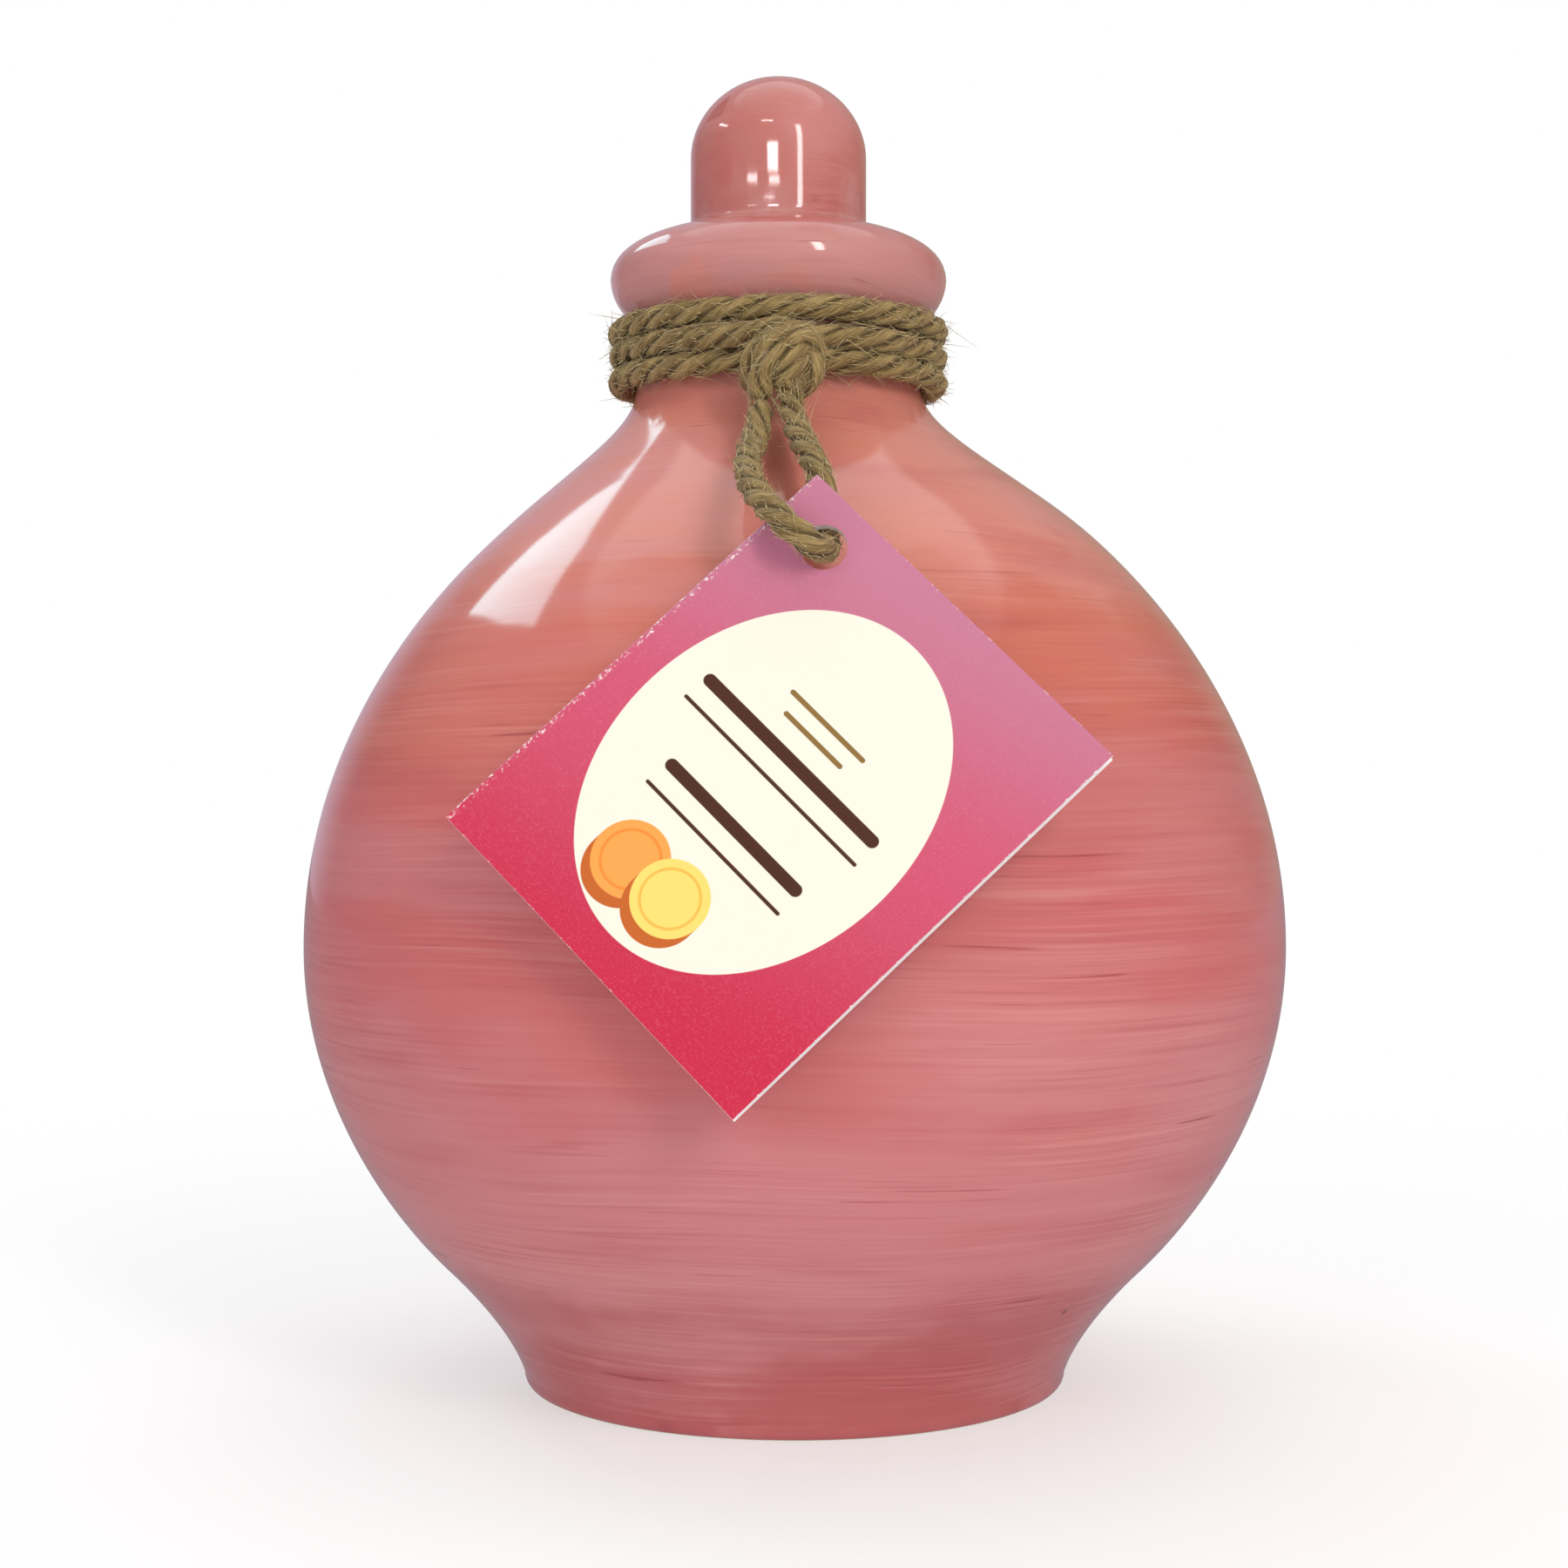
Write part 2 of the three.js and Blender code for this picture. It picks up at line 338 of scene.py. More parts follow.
class PotShape:
    """The pot's closed wall as one grid, with the coin slot let into its back.

    The wall is a profile turned about the axis. Where the slot is, a patch of the grid is left out of
    the outside and of the inside, and rings that shrink from the patch's border to the slot's outline
    take its place. Two quarter-round lips and a straight throat join them through the wall.
    """

    COLUMNS = 192
    PATCH_COLUMNS = 13
    STEP = 0.85

    def __init__(self):
        self.outside = spaced(wall_outside(), self.STEP)
        self.inside = moved_in(self.outside, WALL)
        keep = self.inside[:, 1] > FLOOR + 2
        keep &= self.outside[:, 1] < NECK_TOP - 0.5
        base = chain(
            [(0, 0), (BASE_R - BASE_EDGE, 0)],
            cubic((BASE_R - BASE_EDGE, 0), (BASE_R - 0.5, 0), (BASE_R, 0.7), self.outside[0], 6),
        )
        base = chain([(6, 0), (16, 0), (26, 0)], base[1:])
        collar = spaced(collar_outside(), 0.8)
        inner = self.inside[keep][::-1]
        floor = inner[-1, 0] - 3
        self.profile = chain(
            base, self.outside, collar, [(MOUTH_R, 144.0), (NECK[0] - WALL, 139.0)], inner,
            cubic(inner[-1], inner[-1] - (0.5, 1.2), (floor + 1, FLOOR), (floor, FLOOR), 4),
            [(floor, FLOOR), (20, FLOOR), (6, FLOOR)],
        )
        self.angles = TAU * np.arange(self.COLUMNS) / self.COLUMNS

    def rows_near_slot(self, wall):
        """First and last grid rows of the patch on the given wall, counted in the whole profile."""
        reach = SLOT["height"] / 2 + 5
        near = np.abs(wall[:, 1] - SLOT["z"]) < reach
        rows = [int(np.argmin(np.linalg.norm(self.profile - p, axis=1))) for p in wall[near]]
        return min(rows), max(rows)

    def turned(self):
        """The grid's points: the radius times sine and cosine of the column's angle."""
        r, z = self.profile[:, :1], self.profile[:, 1:]
        wobble = 1 - 0.0004 * (1 + np.sin(2 * self.angles + 0.11 * z + 0.7) * np.sin(0.09 * z))
        x = r * wobble * np.sin(self.angles)
        y = r * wobble * np.cos(self.angles)
        return np.stack([x, y, np.broadcast_to(z, x.shape)], axis=-1)

    def border(self, first, last):
        """Row and column numbers round the patch's border, counterclockwise from its lower left."""
        m = self.PATCH_COLUMNS
        columns, rows = np.arange(-m, m + 1), np.arange(first, last + 1)
        low = [(first, c) for c in columns[:-1]]
        right = [(r, m) for r in rows[:-1]]
        high = [(last, c) for c in columns[:0:-1]]
        left = [(r, -m) for r in rows[:0:-1]]
        return np.array(low + right + high + left)

    def build(self):
        """All points, all faces, and for each point 0 where it is glazed and 1 where it is bare clay."""
        grid = self.turned()
        rows, columns = grid.shape[:2]
        faces = grid_faces(rows, columns)
        row_of, column_of = faces[:, 0] // columns, faces[:, 0] % columns
        signed = (column_of + columns // 2) % columns - columns // 2
        points, rings = [grid.reshape(-1, 3)], []
        taken = np.zeros(len(faces), bool)
        count = rows * columns
        extra = []
        for wall, outer in ((self.outside, True), (self.inside, False)):
            first, last = self.rows_near_slot(wall)
            m = self.PATCH_COLUMNS
            taken |= (row_of >= first) & (row_of < last) & (signed >= -m) & (signed < m)
            edge = self.border(first, last)
            edge_points = grid[edge[:, 0], edge[:, 1] % columns]
            patch = self.patch_rings(edge_points, wall)
            if not outer:
                # the inside counts its rows downwards, so its border is put in the outside's order
                order = self.matching_order(edge_points, rings[0][1])
                edge, patch = edge[order], patch[:, order]
            rings.append((edge[:, 0] * columns + edge[:, 1] % columns, patch[-1] if outer else patch[-1], patch))
        outer_ids, _, outer_rings = rings[0]
        inner_ids, _, inner_rings = rings[1]
        throat = self.throat(outer_rings[-1], inner_rings[-1])
        tunnel = np.concatenate([outer_rings, throat, inner_rings[::-1]])
        n = tunnel.shape[1]
        extra = grid_faces(len(tunnel), n, first=count)
        points.append(tunnel.reshape(-1, 3))
        first_ring = count + np.arange(n)
        last_ring = count + (len(tunnel) - 1) * n + np.arange(n)
        joins = [self.strip(outer_ids, first_ring), self.strip(last_ring, inner_ids)]
        poles = np.array([[0, 0, 0], [0, 0, FLOOR]])
        foot = count + tunnel.shape[0] * n
        points.append(poles)
        c = np.arange(columns)
        k = (c + 1) % columns
        fans = [
            np.stack([np.full(columns, foot), k, c], axis=-1),
            np.stack([np.full(columns, foot + 1), (rows - 1) * columns + c, (rows - 1) * columns + k], axis=-1),
        ]
        points = np.concatenate(points)
        bare = self.bare(points)
        # the grid's quads and the slot's quads turn the same way round only after one is reversed
        return points, [faces[~taken][:, ::-1], extra, *joins, *[f[:, ::-1] for f in fans]], bare

    def patch_rings(self, edge_points, wall):
        """Rings from just inside the border to the slot's outline, laid on the turned wall.

        A ring is the border moved towards the slot's outline, in the plane of x and z. The point's
        y is then the root of the wall's radius squared less x squared.
        """
        r_at, z_at = wall[:, 0], wall[:, 1]
        x, z = edge_points[:, 0], edge_points[:, 2] - SLOT["z"]
        scale_x = SLOT["width"] / 2 / np.abs(x).max()
        scale_z = SLOT["height"] / 2 / np.abs(z).max()
        lip = SLOT["lip"] if wall is self.outside else 0.5
        outline = rounded_slot(
            x * scale_x * (1 + 2 * lip / SLOT["width"]),
            z * scale_z * (1 + 2 * lip / SLOT["height"]),
            SLOT["width"] / 2 + lip, SLOT["height"] / 2 + lip, SLOT["corner"] + lip,
        )
        part = np.linspace(0, 1, 8)[1:, None, None] ** 0.8
        border = np.stack([x, z], axis=-1)[None]
        flat = border * (1 - part) + outline[None] * part
        radius = np.interp(flat[..., 1] + SLOT["z"], z_at, r_at)
        y = np.sqrt(radius**2 - flat[..., 0] ** 2)
        return np.stack([flat[..., 0], y, flat[..., 1] + SLOT["z"]], axis=-1)

    def throat(self, outer, inner):
        """The lips and the straight throat between the outer and the inner outline.

        Each lip is a quarter round: the outline shrinks by the radius times sine while it sinks by
        the radius times one less cosine.
        """
        centre = np.array([0, 0, SLOT["z"]])
        rings = []
        for outline, lip, sign in ((outer, SLOT["lip"], -1.0), (inner, 0.5, 1.0)):
            turn = np.linspace(0, math.pi / 2, 6)[1:, None, None]
            flat = (outline - centre)[..., [0, 2]]
            half = np.array([SLOT["width"] / 2, SLOT["height"] / 2])
            core = half - SLOT["corner"]
            q = np.clip(flat, -core, core)
            away = (flat - q) / np.linalg.norm(flat - q, axis=-1, keepdims=True)
            shrunk = flat[None] - lip * np.sin(turn) * away[None]
            y = outline[None, :, 1] + sign * lip * (1 - np.cos(turn[..., 0]))
            rings.append(np.stack([shrunk[..., 0], y, shrunk[..., 1] + SLOT["z"]], axis=-1))
        outer_lip, inner_lip = rings
        part = np.linspace(0, 1, 5)[1:-1, None, None]
        straight = outer_lip[-1][None] * (1 - part) + inner_lip[-1][None] * part
        return np.concatenate([outer_lip, straight, inner_lip[::-1]])

    @staticmethod
    def matching_order(points, target):
        """The order that puts the inner border's points opposite the outer border's."""
        angle = np.arctan2(points[:, 2] - SLOT["z"], points[:, 0])
        wanted = np.arctan2(target[:, 2] - SLOT["z"], target[:, 0])
        order = np.argsort(angle)
        ranks = np.argsort(np.argsort(wanted))
        return order[ranks]

    @staticmethod
    def strip(a, b):
        """Quads between two closed rings of vertex numbers."""
        return np.stack([a, np.roll(a, -1), np.roll(b, -1), b], axis=-1)

    def bare(self, points):
        """1 on the inside and under the foot, where there is no glaze, and 0 outside."""
        r = np.hypot(points[:, 0], points[:, 1])
        wall_r = np.interp(points[:, 2], self.outside[:, 1], self.outside[:, 0])
        inside = (r < wall_r - 1.6) & (points[:, 2] < NECK_TOP)
        under = points[:, 2] < 0.15
        return (inside | under).astype(float)


# ------------------------------------------------------------------ pieces of twine


def carried_frames(route):
    """Tangents and two normals along a route: each normal is the one before it with its part along
    the new tangent taken out, so the frame never twists by itself."""
    tangent = np.gradient(route, axis=0)
    tangent /= np.linalg.norm(tangent, axis=1)[:, None]
    normal = np.zeros_like(route)
    last = np.array([0.0, 0.0, 1.0]) if abs(tangent[0, 2]) < 0.8 else np.array([1.0, 0.0, 0.0])
    for k, t in enumerate(tangent):
        last = last - last.dot(t) * t
        last /= np.linalg.norm(last)
        normal[k] = last
    return tangent, normal, np.cross(tangent, normal)


def fibre_ripple(rng, rows, columns, row_grain, column_grain):
    """Smooth seeded noise on a grid that closes round its columns: random values at coarse knots,
    joined by a cosine blend."""
    a, b = max(2, int(rows / row_grain)), max(4, int(columns / column_grain))
    knots = rng.standard_normal((a + 2, b))
    y = np.linspace(0, a, rows)
    x = np.linspace(0, b, columns, endpoint=False)
    yi, xi = y.astype(int), x.astype(int)
    fy = ((1 - np.cos(np.pi * (y - yi))) / 2)[:, None]
    fx = ((1 - np.cos(np.pi * (x - xi))) / 2)[None]
    k = lambda dy, dx: knots[np.minimum(yi + dy, a + 1)][:, (xi + dx) % b]
    return (k(0, 0) * (1 - fx) + k(0, 1) * fx) * (1 - fy) + (k(1, 0) * (1 - fx) + k(1, 1) * fx) * fy


def twisted_cord(route, radius, lay, seed, plies=3, around=36, flat_ends=False):
    """A laid cord carried along a route.

    Its section is the outline of three round plies that touch at the middle: from a ply's centre
    line at distance b, the outline lies at b cos(d) + root(a squared - b squared sin(d) squared),
    where d is the angle to the nearest ply. The section turns once round for each lay length, and
    fine ripples along the plies stand for the fibres. Returns points, faces and strand coordinates.
    """
    rng = np.random.default_rng(seed)
    tangent, n1, n2 = carried_frames(route)
    s = along(route)
    phi = TAU * np.arange(around) / around
    ply_r = radius * 0.52
    ply_at = radius - ply_r
    d = (phi * plies / TAU + 0.5) % 1 - 0.5
    d = d * TAU / plies
    section = ply_at * np.cos(d) + np.sqrt(ply_r**2 - (ply_at * np.sin(d)) ** 2)
    ripple = fibre_ripple(rng, len(s), around, 9, 1.6) * 0.05 * radius
    swell = fibre_ripple(rng, len(s), around, 34, 8) * 0.05 * radius
    r = (0.2 + 0.8 * section[None] / radius) * radius + ripple + swell
    r = np.minimum(r, radius * 1.08)
    ends = np.minimum(s, s[-1] - s) / radius
    if not flat_ends:
        cap = np.sqrt(np.clip(1 - (1 - np.clip(ends, 0, 1)) ** 2, 0.02, 1))
        r = r * cap[:, None]
    turn = phi[None] - TAU * s[:, None] / lay
    points = route[:, None] + r[..., None] * (
        np.cos(turn)[..., None] * n1[:, None] + np.sin(turn)[..., None] * n2[:, None]
    )
    rows = len(s)
    # the depth into the grooves between plies, which the jute material darkens as painted shade
    depth = np.broadcast_to(1 - (section - section.min()) / (section.max() - section.min()), (rows, around))
    strand = np.stack(
        [np.broadcast_to(phi[None] * radius, (rows, around)), np.broadcast_to(s[:, None], (rows, around)), depth * 1000],
        axis=-1,
    )
    faces = [grid_faces(rows, around)]
    caps = np.stack([route[0], route[-1]])
    n = rows * around
    i = np.arange(around)
    k = (i + 1) % around
    faces.append(np.stack([np.full(around, n), k, i], axis=-1))
    faces.append(np.stack([np.full(around, n + 1), (rows - 1) * around + i, (rows - 1) * around + k], axis=-1))
    all_points = np.concatenate([points.reshape(-1, 3), caps])
    # the caps' middles take half the groove depth, so half the painted shade
    all_strand = np.concatenate([strand.reshape(-1, 3), [[0, 0, 500], [0, s[-1], 500]]])
    return all_points, faces, all_strand


def closed_cord(route, lay, seed):
    """A turn that meets itself: its lay is changed a little, to a whole number of plies in the turn."""
    plies = round(3 * along(route)[-1] / lay)
    return twisted_cord(route, TWINE_R, 3 * along(route)[-1] / plies, seed, flat_ends=True)


def joined(parts):
    """Several sets of points, faces and strand coordinates as one."""
    points, faces, strands, first = [], [], [], 0
    for p, f, s in parts:
        points.append(p)
        faces.extend(array + first for array in f)
        strands.append(s)
        first += len(p)
    return np.concatenate(points), faces, np.concatenate(strands)


def loose_fibres(route, radius, per_mm, seed, longest=7.0, thick=0.07):
    """Stray fibres on a cord: each starts at the cord's surface, runs along it and bends away.

    A fibre's line is its root plus length times t along a direction, plus a bow of t squared. It is
    a three-sided tube that thins to a point.
    """
    rng = np.random.default_rng(seed)
    tangent, n1, n2 = carried_frames(route)
    s = along(route)
    count = int(s[-1] * per_mm)
    at = rng.uniform(0, s[-1], count)
    pick = lambda field: np.stack([np.interp(at, s, field[:, k]) for k in range(3)], axis=1)
    centre, t, a, b = pick(route), pick(tangent), pick(n1), pick(n2)
    angle = rng.uniform(0, TAU, count)[:, None]
    out = np.cos(angle) * a + np.sin(angle) * b
    side = -np.sin(angle) * a + np.cos(angle) * b
    way = rng.choice([-1.0, 1.0], count)[:, None]
    length = (longest / 8 + rng.gamma(1.5, longest / 5.5, (count, 1))).clip(0.8, longest)
    lean = rng.uniform(0.0, 0.55, (count, 1)) * (1.8 / length).clip(0.3, 1)
    heading = way * t + lean * out + rng.normal(0, 0.35, (count, 1)) * side
    heading /= np.linalg.norm(heading, axis=1)[:, None]
    bow = rng.normal(0, 0.24, (count, 1)) * side + rng.uniform(-0.30, 0.20, (count, 1)) * out
    steps = np.linspace(0, 1, 6)[None, :, None]
    root = centre + radius * 0.86 * out
    line = root[:, None] + length[:, None] * (steps * heading[:, None] + steps**2 * bow[:, None])
    across = np.cross(heading, out + 0.01 * side)
    across /= np.linalg.norm(across, axis=1)[:, None]
    lift = np.cross(across, heading)
    width = thick * rng.uniform(0.6, 1.25, (count, 1, 1, 1)) * (1 - 0.8 * steps[..., None])
    turn = TAU * np.arange(3) / 3
    ring = np.cos(turn)[None, None, :, None] * across[:, None, None] + np.sin(turn)[None, None, :, None] * lift[:, None, None]
    points = line[:, :, None] + width * ring
    rows = steps.shape[1]
    quads = grid_faces(rows, 3)
    first = np.arange(count)[:, None, None] * rows * 3
    tips = np.array([[(rows - 1) * 3, (rows - 1) * 3 + 1, (rows - 1) * 3 + 2]])
    roots = np.array([[2, 1, 0]])
    faces = [(quads[None] + first).reshape(-1, 4), (tips[None] + first).reshape(-1, 3), (roots[None] + first).reshape(-1, 3)]
    tone = np.broadcast_to(rng.uniform(0, 50, (count, 1, 1)), (count, rows, 3))
    strand = np.stack([tone, np.broadcast_to(steps[..., 0:1] * 5, tone.shape), np.zeros(tone.shape)], axis=-1)
    return points.reshape(-1, 3), faces, strand.reshape(-1, 3)


def coil_turn(turn):
    """One of the turns round the neck, closed at the back: a circle whose height and radius swell by
    a few sines of the angle."""
    angle = np.linspace(0, TAU, 460)
    k = 1.7 * turn
    z = COIL["z"] + turn * COIL["pitch"] + 0.14 * np.sin(angle + k) + 0.10 * np.sin(2 * angle + 2 * k)
    r = COIL["r"] + 0.10 * np.sin(2 * angle + k) + 0.06 * np.sin(5 * angle + 3 * k)
    return np.stack([LEAN["x"] - np.sin(angle) * r, np.cos(angle) * r, z], axis=1)


# ------------------------------------------------------------------ the tag's shape


def tag_matrix():
    """Takes the tag's own plane, with its fold up and its hole at the right, to its place."""
    turn = Matrix.Rotation(-math.radians(TAG_PLACE["turn"]), 4, "Y")
    lean = Matrix.Rotation(-math.radians(TAG_PLACE["tilt"]), 4, "X")
    yaw = Matrix.Rotation(math.radians(TAG_PLACE["yaw"]), 4, "Z")
    return Matrix.Translation(TAG_PLACE["at"]) @ yaw @ lean @ turn


def placed_on_tag(points):
    """Points of the tag's own frame, taken to their place on the pot."""
    m = np.array(tag_matrix())
    return np.asarray(points) @ m[:3, :3].T + m[:3, 3]


def leaf_rings(rings, around):
    """Flat points of one leaf: rings that grow from the round hole to the leaf's outline.

    A ray at each angle from the hole's centre meets the outline where the nearer of its two sides
    is, and each ring lies at a share of the way.
    """
    half = np.array([TAG["length"] / 2, TAG["width"] / 2])
    hole = half - np.array([TAG["from_end"], TAG["from_fold"]])
    corners = [np.arctan2(sz * half[1] - hole[1], sx * half[0] - hole[0]) for sx in (-1, 1) for sz in (-1, 1)]
    angle = np.sort(np.concatenate([TAU * np.arange(around) / around - math.pi, corners]))
    heading = np.stack([np.cos(angle), np.sin(angle)], axis=1)
    with np.errstate(divide="ignore"):
        reach = np.where(heading > 0, (half - hole) / heading, (-half - hole) / heading)
    reach = np.abs(reach).min(axis=1)
    share = np.linspace(0, 1, rings)[:, None] ** 1.2
    radius = TAG["hole"] + share * (reach[None] - TAG["hole"])
    flat = hole + radius[..., None] * heading[None]
    return flat


def leaf_points(front):
    """Both faces of a leaf: its flat points, bowed a little away from the other leaf."""
    flat = leaf_rings(26, 160)
    x, z = flat[..., 0], flat[..., 1]
    open_part = (TAG["width"] / 2 - z) / TAG["width"]
    side = -1.0 if front else 1.0
    bow = open_part**2 * (0.55 + 0.25 * x / TAG["length"]) * (1.0 if front else 0.35)
    near = side * (TAG["gap"] / 2 + bow)
    far = side * (TAG["gap"] / 2 + TAG["card"] + bow)
    return flat, np.stack([x, near, z], axis=-1), np.stack([x, far, z], axis=-1)


# ------------------------------------------------------------------ materials


def glazed_slip(settings):
    """Earthenware brushed with coral pink slip under a clear glaze: the eye sees level brush marks
    of uneven strength through a glossy coat that mirrors the room sharply."""
    material, tree = new_material("glazed_earthenware_pink_slip")
    flow = add_node(tree, "ShaderNodeAttribute", {"attribute_name": "glaze_flow"}, {}).outputs["Vector"]
    place = add_node(tree, "ShaderNodeTexCoord", {}, {}).outputs["Object"]
    height = add_node(tree, "ShaderNodeSeparateXYZ", {}, {0: place}).outputs[2]

    # the brush was held by hand on a turning pot, so its marks drift up and down by a millimetre or two
    wander = noise(tree, flow, (0.090, 0.090, 0.05), 1.0, offset=(3, 1, 0))
    lift = scalar(tree, "MULTIPLY_ADD", wander, 0.006, -0.003)
    shift = add_node(tree, "ShaderNodeCombineXYZ", {}, {2: lift}).outputs[0]
    flow = add_node(tree, "ShaderNodeVectorMath", {"operation": "ADD"}, {0: flow, 1: shift}).outputs[0]

    # the colour changes with height, more orange on the shoulder and rosier from the belly down: partly the slip's own
    # colour and partly painted light and shade on the pot
    mottle = noise(tree, flow, (0.035, 0.035, 0.014), 3.0, offset=(0, 5, 2))
    level = scalar(tree, "MULTIPLY_ADD", mottle, 0.04, height)
    colour = blend_colour(tree, ramp(tree, level, 0.024, 0.044), linear("#B35D5E"), linear("#C57A7C"))
    colour = blend_colour(tree, ramp(tree, level, 0.055, 0.075), colour, linear("#C46869"))
    colour = blend_colour(tree, ramp(tree, level, 0.085, 0.125), colour, linear("#C76C58"))
    # painted light: the lighter neck makes up for the shade that the collar casts on it
    colour = blend_colour(tree, ramp(tree, level, 0.119, 0.128), colour, linear("#CE7F70"))
    colour = blend_colour(tree, ramp(tree, level, 0.150, 0.160), colour, linear("#BE837F"))
    colour = blend_colour(tree, ramp(tree, level, 0.166, 0.176), colour, linear("#B9716A"))

    # a loaded brush and a dry one: clouds of thick and thin slip, a finger wide
    clouds = noise(tree, flow, (0.070, 0.070, 0.0105), 2.5, 0.5, offset=(7, 0, 1))
    colour = blend_colour(tree, ramp(tree, clouds, 0.47, 0.66, 0.0, 0.38), colour, linear("#C98587"))
    colour = blend_colour(tree, ramp(tree, clouds, 0.46, 0.29, 0.0, 0.36), colour, linear("#B25256"))

    # bristle marks, which are bunched in some places, hardly there in others, and faint on the shoulder
    bunched = ramp(tree, noise(tree, flow, (0.050, 0.050, 0.010), 1.0, offset=(1, 6, 4)), 0.42, 0.62, 0.30, 1.0)
    bunched = scalar(tree, "MULTIPLY", bunched, ramp(tree, height, 0.110, 0.070, 0.50, 1.0))
    marks = noise(tree, flow, (0.042, 0.042, 0.0014), 3.0, 0.55, offset=(2, 9, 0))
    hairs = noise(tree, flow, (0.036, 0.036, 0.00042), 2.0, 0.5, offset=(4, 2, 8))
    strokes = noise(tree, flow, (0.022, 0.022, 0.0007), 2.0, 0.4, offset=(9, 4, 3))
    for pattern, start, stop, most, tint in (
        (marks, 0.50, 0.72, 0.24, "#D8978F"), (marks, 0.46, 0.27, 0.28, "#A24A4C"),
        (hairs, 0.48, 0.76, 0.20, "#DFA49E"), (hairs, 0.46, 0.25, 0.25, "#984245"),
        (strokes, 0.32, 0.22, 0.60, "#8A3840"),
    ):
        amount = scalar(tree, "MULTIPLY", ramp(tree, pattern, start, stop, 0.0, most), bunched)
        colour = blend_colour(tree, amount, colour, linear(tint))

    # pin-head specks of iron in the clay, about one to each few square centimetres
    cells = add_node(
        tree, "ShaderNodeTexVoronoi", {"feature": "F1"},
        {"Vector": place, "Scale": 1 / 0.017, "Randomness": 1.0},
    )
    speck = ramp(tree, cells.outputs["Distance"], 0.034, 0.020)
    chosen = scalar(tree, "GREATER_THAN", add_node(tree, "ShaderNodeSeparateXYZ", {}, {0: cells.outputs["Color"]}).outputs[0], 0.62)
    colour = blend_colour(tree, scalar(tree, "MULTIPLY", speck, scalar(tree, "MULTIPLY", chosen, 0.8)), colour, linear("#6E2F2E"))

    # bare clay inside the pot and under its foot
    bare = add_node(tree, "ShaderNodeAttribute", {"attribute_name": "bare_clay"}, {}).outputs["Vector"]
    bare = add_node(tree, "ShaderNodeSeparateXYZ", {}, {0: bare}).outputs[0]
    grit = noise(tree, place, (0.0012, 0.0012, 0.0012), 4.0)
    clay = blend_colour(tree, grit, linear("#D9C3A6"), linear("#B99B78"))
    colour = blend_colour(tree, bare, colour, clay)
    gloss = scalar(tree, "MULTIPLY_ADD", bare, 0.5, 0.09)

    orange_peel = noise(tree, place, (0.009, 0.009, 0.009), 1.0)
    bump = add_node(tree, "ShaderNodeBump", {}, {"Strength": 0.02, "Distance": 0.0012, "Height": orange_peel})
    shader = add_node(
        tree, "ShaderNodeBsdfPrincipled", {},
        {
            "Base Color": colour, "Roughness": gloss, "IOR": 1.5, "Normal": bump.outputs[0],
            "Specular IOR Level": settings.glaze_specular,
        },
    )
    finish_material(tree, shader)
    return material


def jute_fibre(name, dark, light, sheen):
    """Natural jute, spun and laid: the eye sees dull olive straw, with painted shade in the grooves between
    plies, and single fibres streaked lighter as a painted highlight."""
    material, tree = new_material(name)
    strand = add_node(tree, "ShaderNodeAttribute", {"attribute_name": "strand"}, {}).outputs["Vector"]
    # strand coordinates are millimetres round and along the cord, and a groove depth in thousandths
    parts = add_node(tree, "ShaderNodeSeparateXYZ", {}, {0: strand})
    groove = scalar(tree, "DIVIDE", parts.outputs[2], 1000.0)
    flat = add_node(tree, "ShaderNodeCombineXYZ", {}, {0: parts.outputs[0], 1: parts.outputs[1]}).outputs[0]
    fibre = noise(tree, flat, (0.16, 1.9, 1.0), 3.0, 0.6)
    patch = noise(tree, flat, (1.6, 4.5, 1.0), 2.0, 0.5, offset=(3, 3, 0))
    tone = scalar(tree, "ADD", scalar(tree, "MULTIPLY", fibre, 0.65), scalar(tree, "MULTIPLY", patch, 0.35))
    colour = blend_colour(tree, ramp(tree, tone, 0.36, 0.64), linear(dark), linear(light))
    # painted highlight: the lightest fibre streaks, standing in for fibres that catch the light
    colour = blend_colour(tree, ramp(tree, fibre, 0.62, 0.76, 0.0, 0.6), colour, linear("#BDA673"))
    # painted shade: darker towards the bottom of the grooves between plies
    colour = blend_colour(tree, ramp(tree, groove, 0.35, 0.9, 0.0, 0.62), colour, linear("#2E2314"))
    bump = add_node(tree, "ShaderNodeBump", {}, {"Strength": 0.8, "Distance": 0.00012, "Height": fibre})
    shader = add_node(
        tree, "ShaderNodeBsdfPrincipled", {},
        {"Base Color": colour, "Roughness": 0.85, "Specular IOR Level": 0.25, "Sheen Weight": sheen, "Normal": bump.outputs[0]},
    )
    finish_material(tree, shader)
    return material


def stadium(tree, x, z, centre, half_length, radius, turn_degrees=0.0):
    """Distance outside a rounded bar, in millimetres: the distance to its middle line less its radius."""
    c, s = math.cos(math.radians(turn_degrees)), math.sin(math.radians(turn_degrees))
    dx = scalar(tree, "SUBTRACT", x, centre[0])
    dz = scalar(tree, "SUBTRACT", z, centre[1])
    u = scalar(tree, "ADD", scalar(tree, "MULTIPLY", dx, c), scalar(tree, "MULTIPLY", dz, s))
    v = scalar(tree, "ADD", scalar(tree, "MULTIPLY", dx, -s), scalar(tree, "MULTIPLY", dz, c))
    u = scalar(tree, "MAXIMUM", scalar(tree, "SUBTRACT", scalar(tree, "ABSOLUTE", u), half_length), 0.0)
    far = scalar(tree, "SQRT", scalar(tree, "ADD", scalar(tree, "MULTIPLY", u, u), scalar(tree, "MULTIPLY", v, v)))
    return scalar(tree, "SUBTRACT", far, radius)


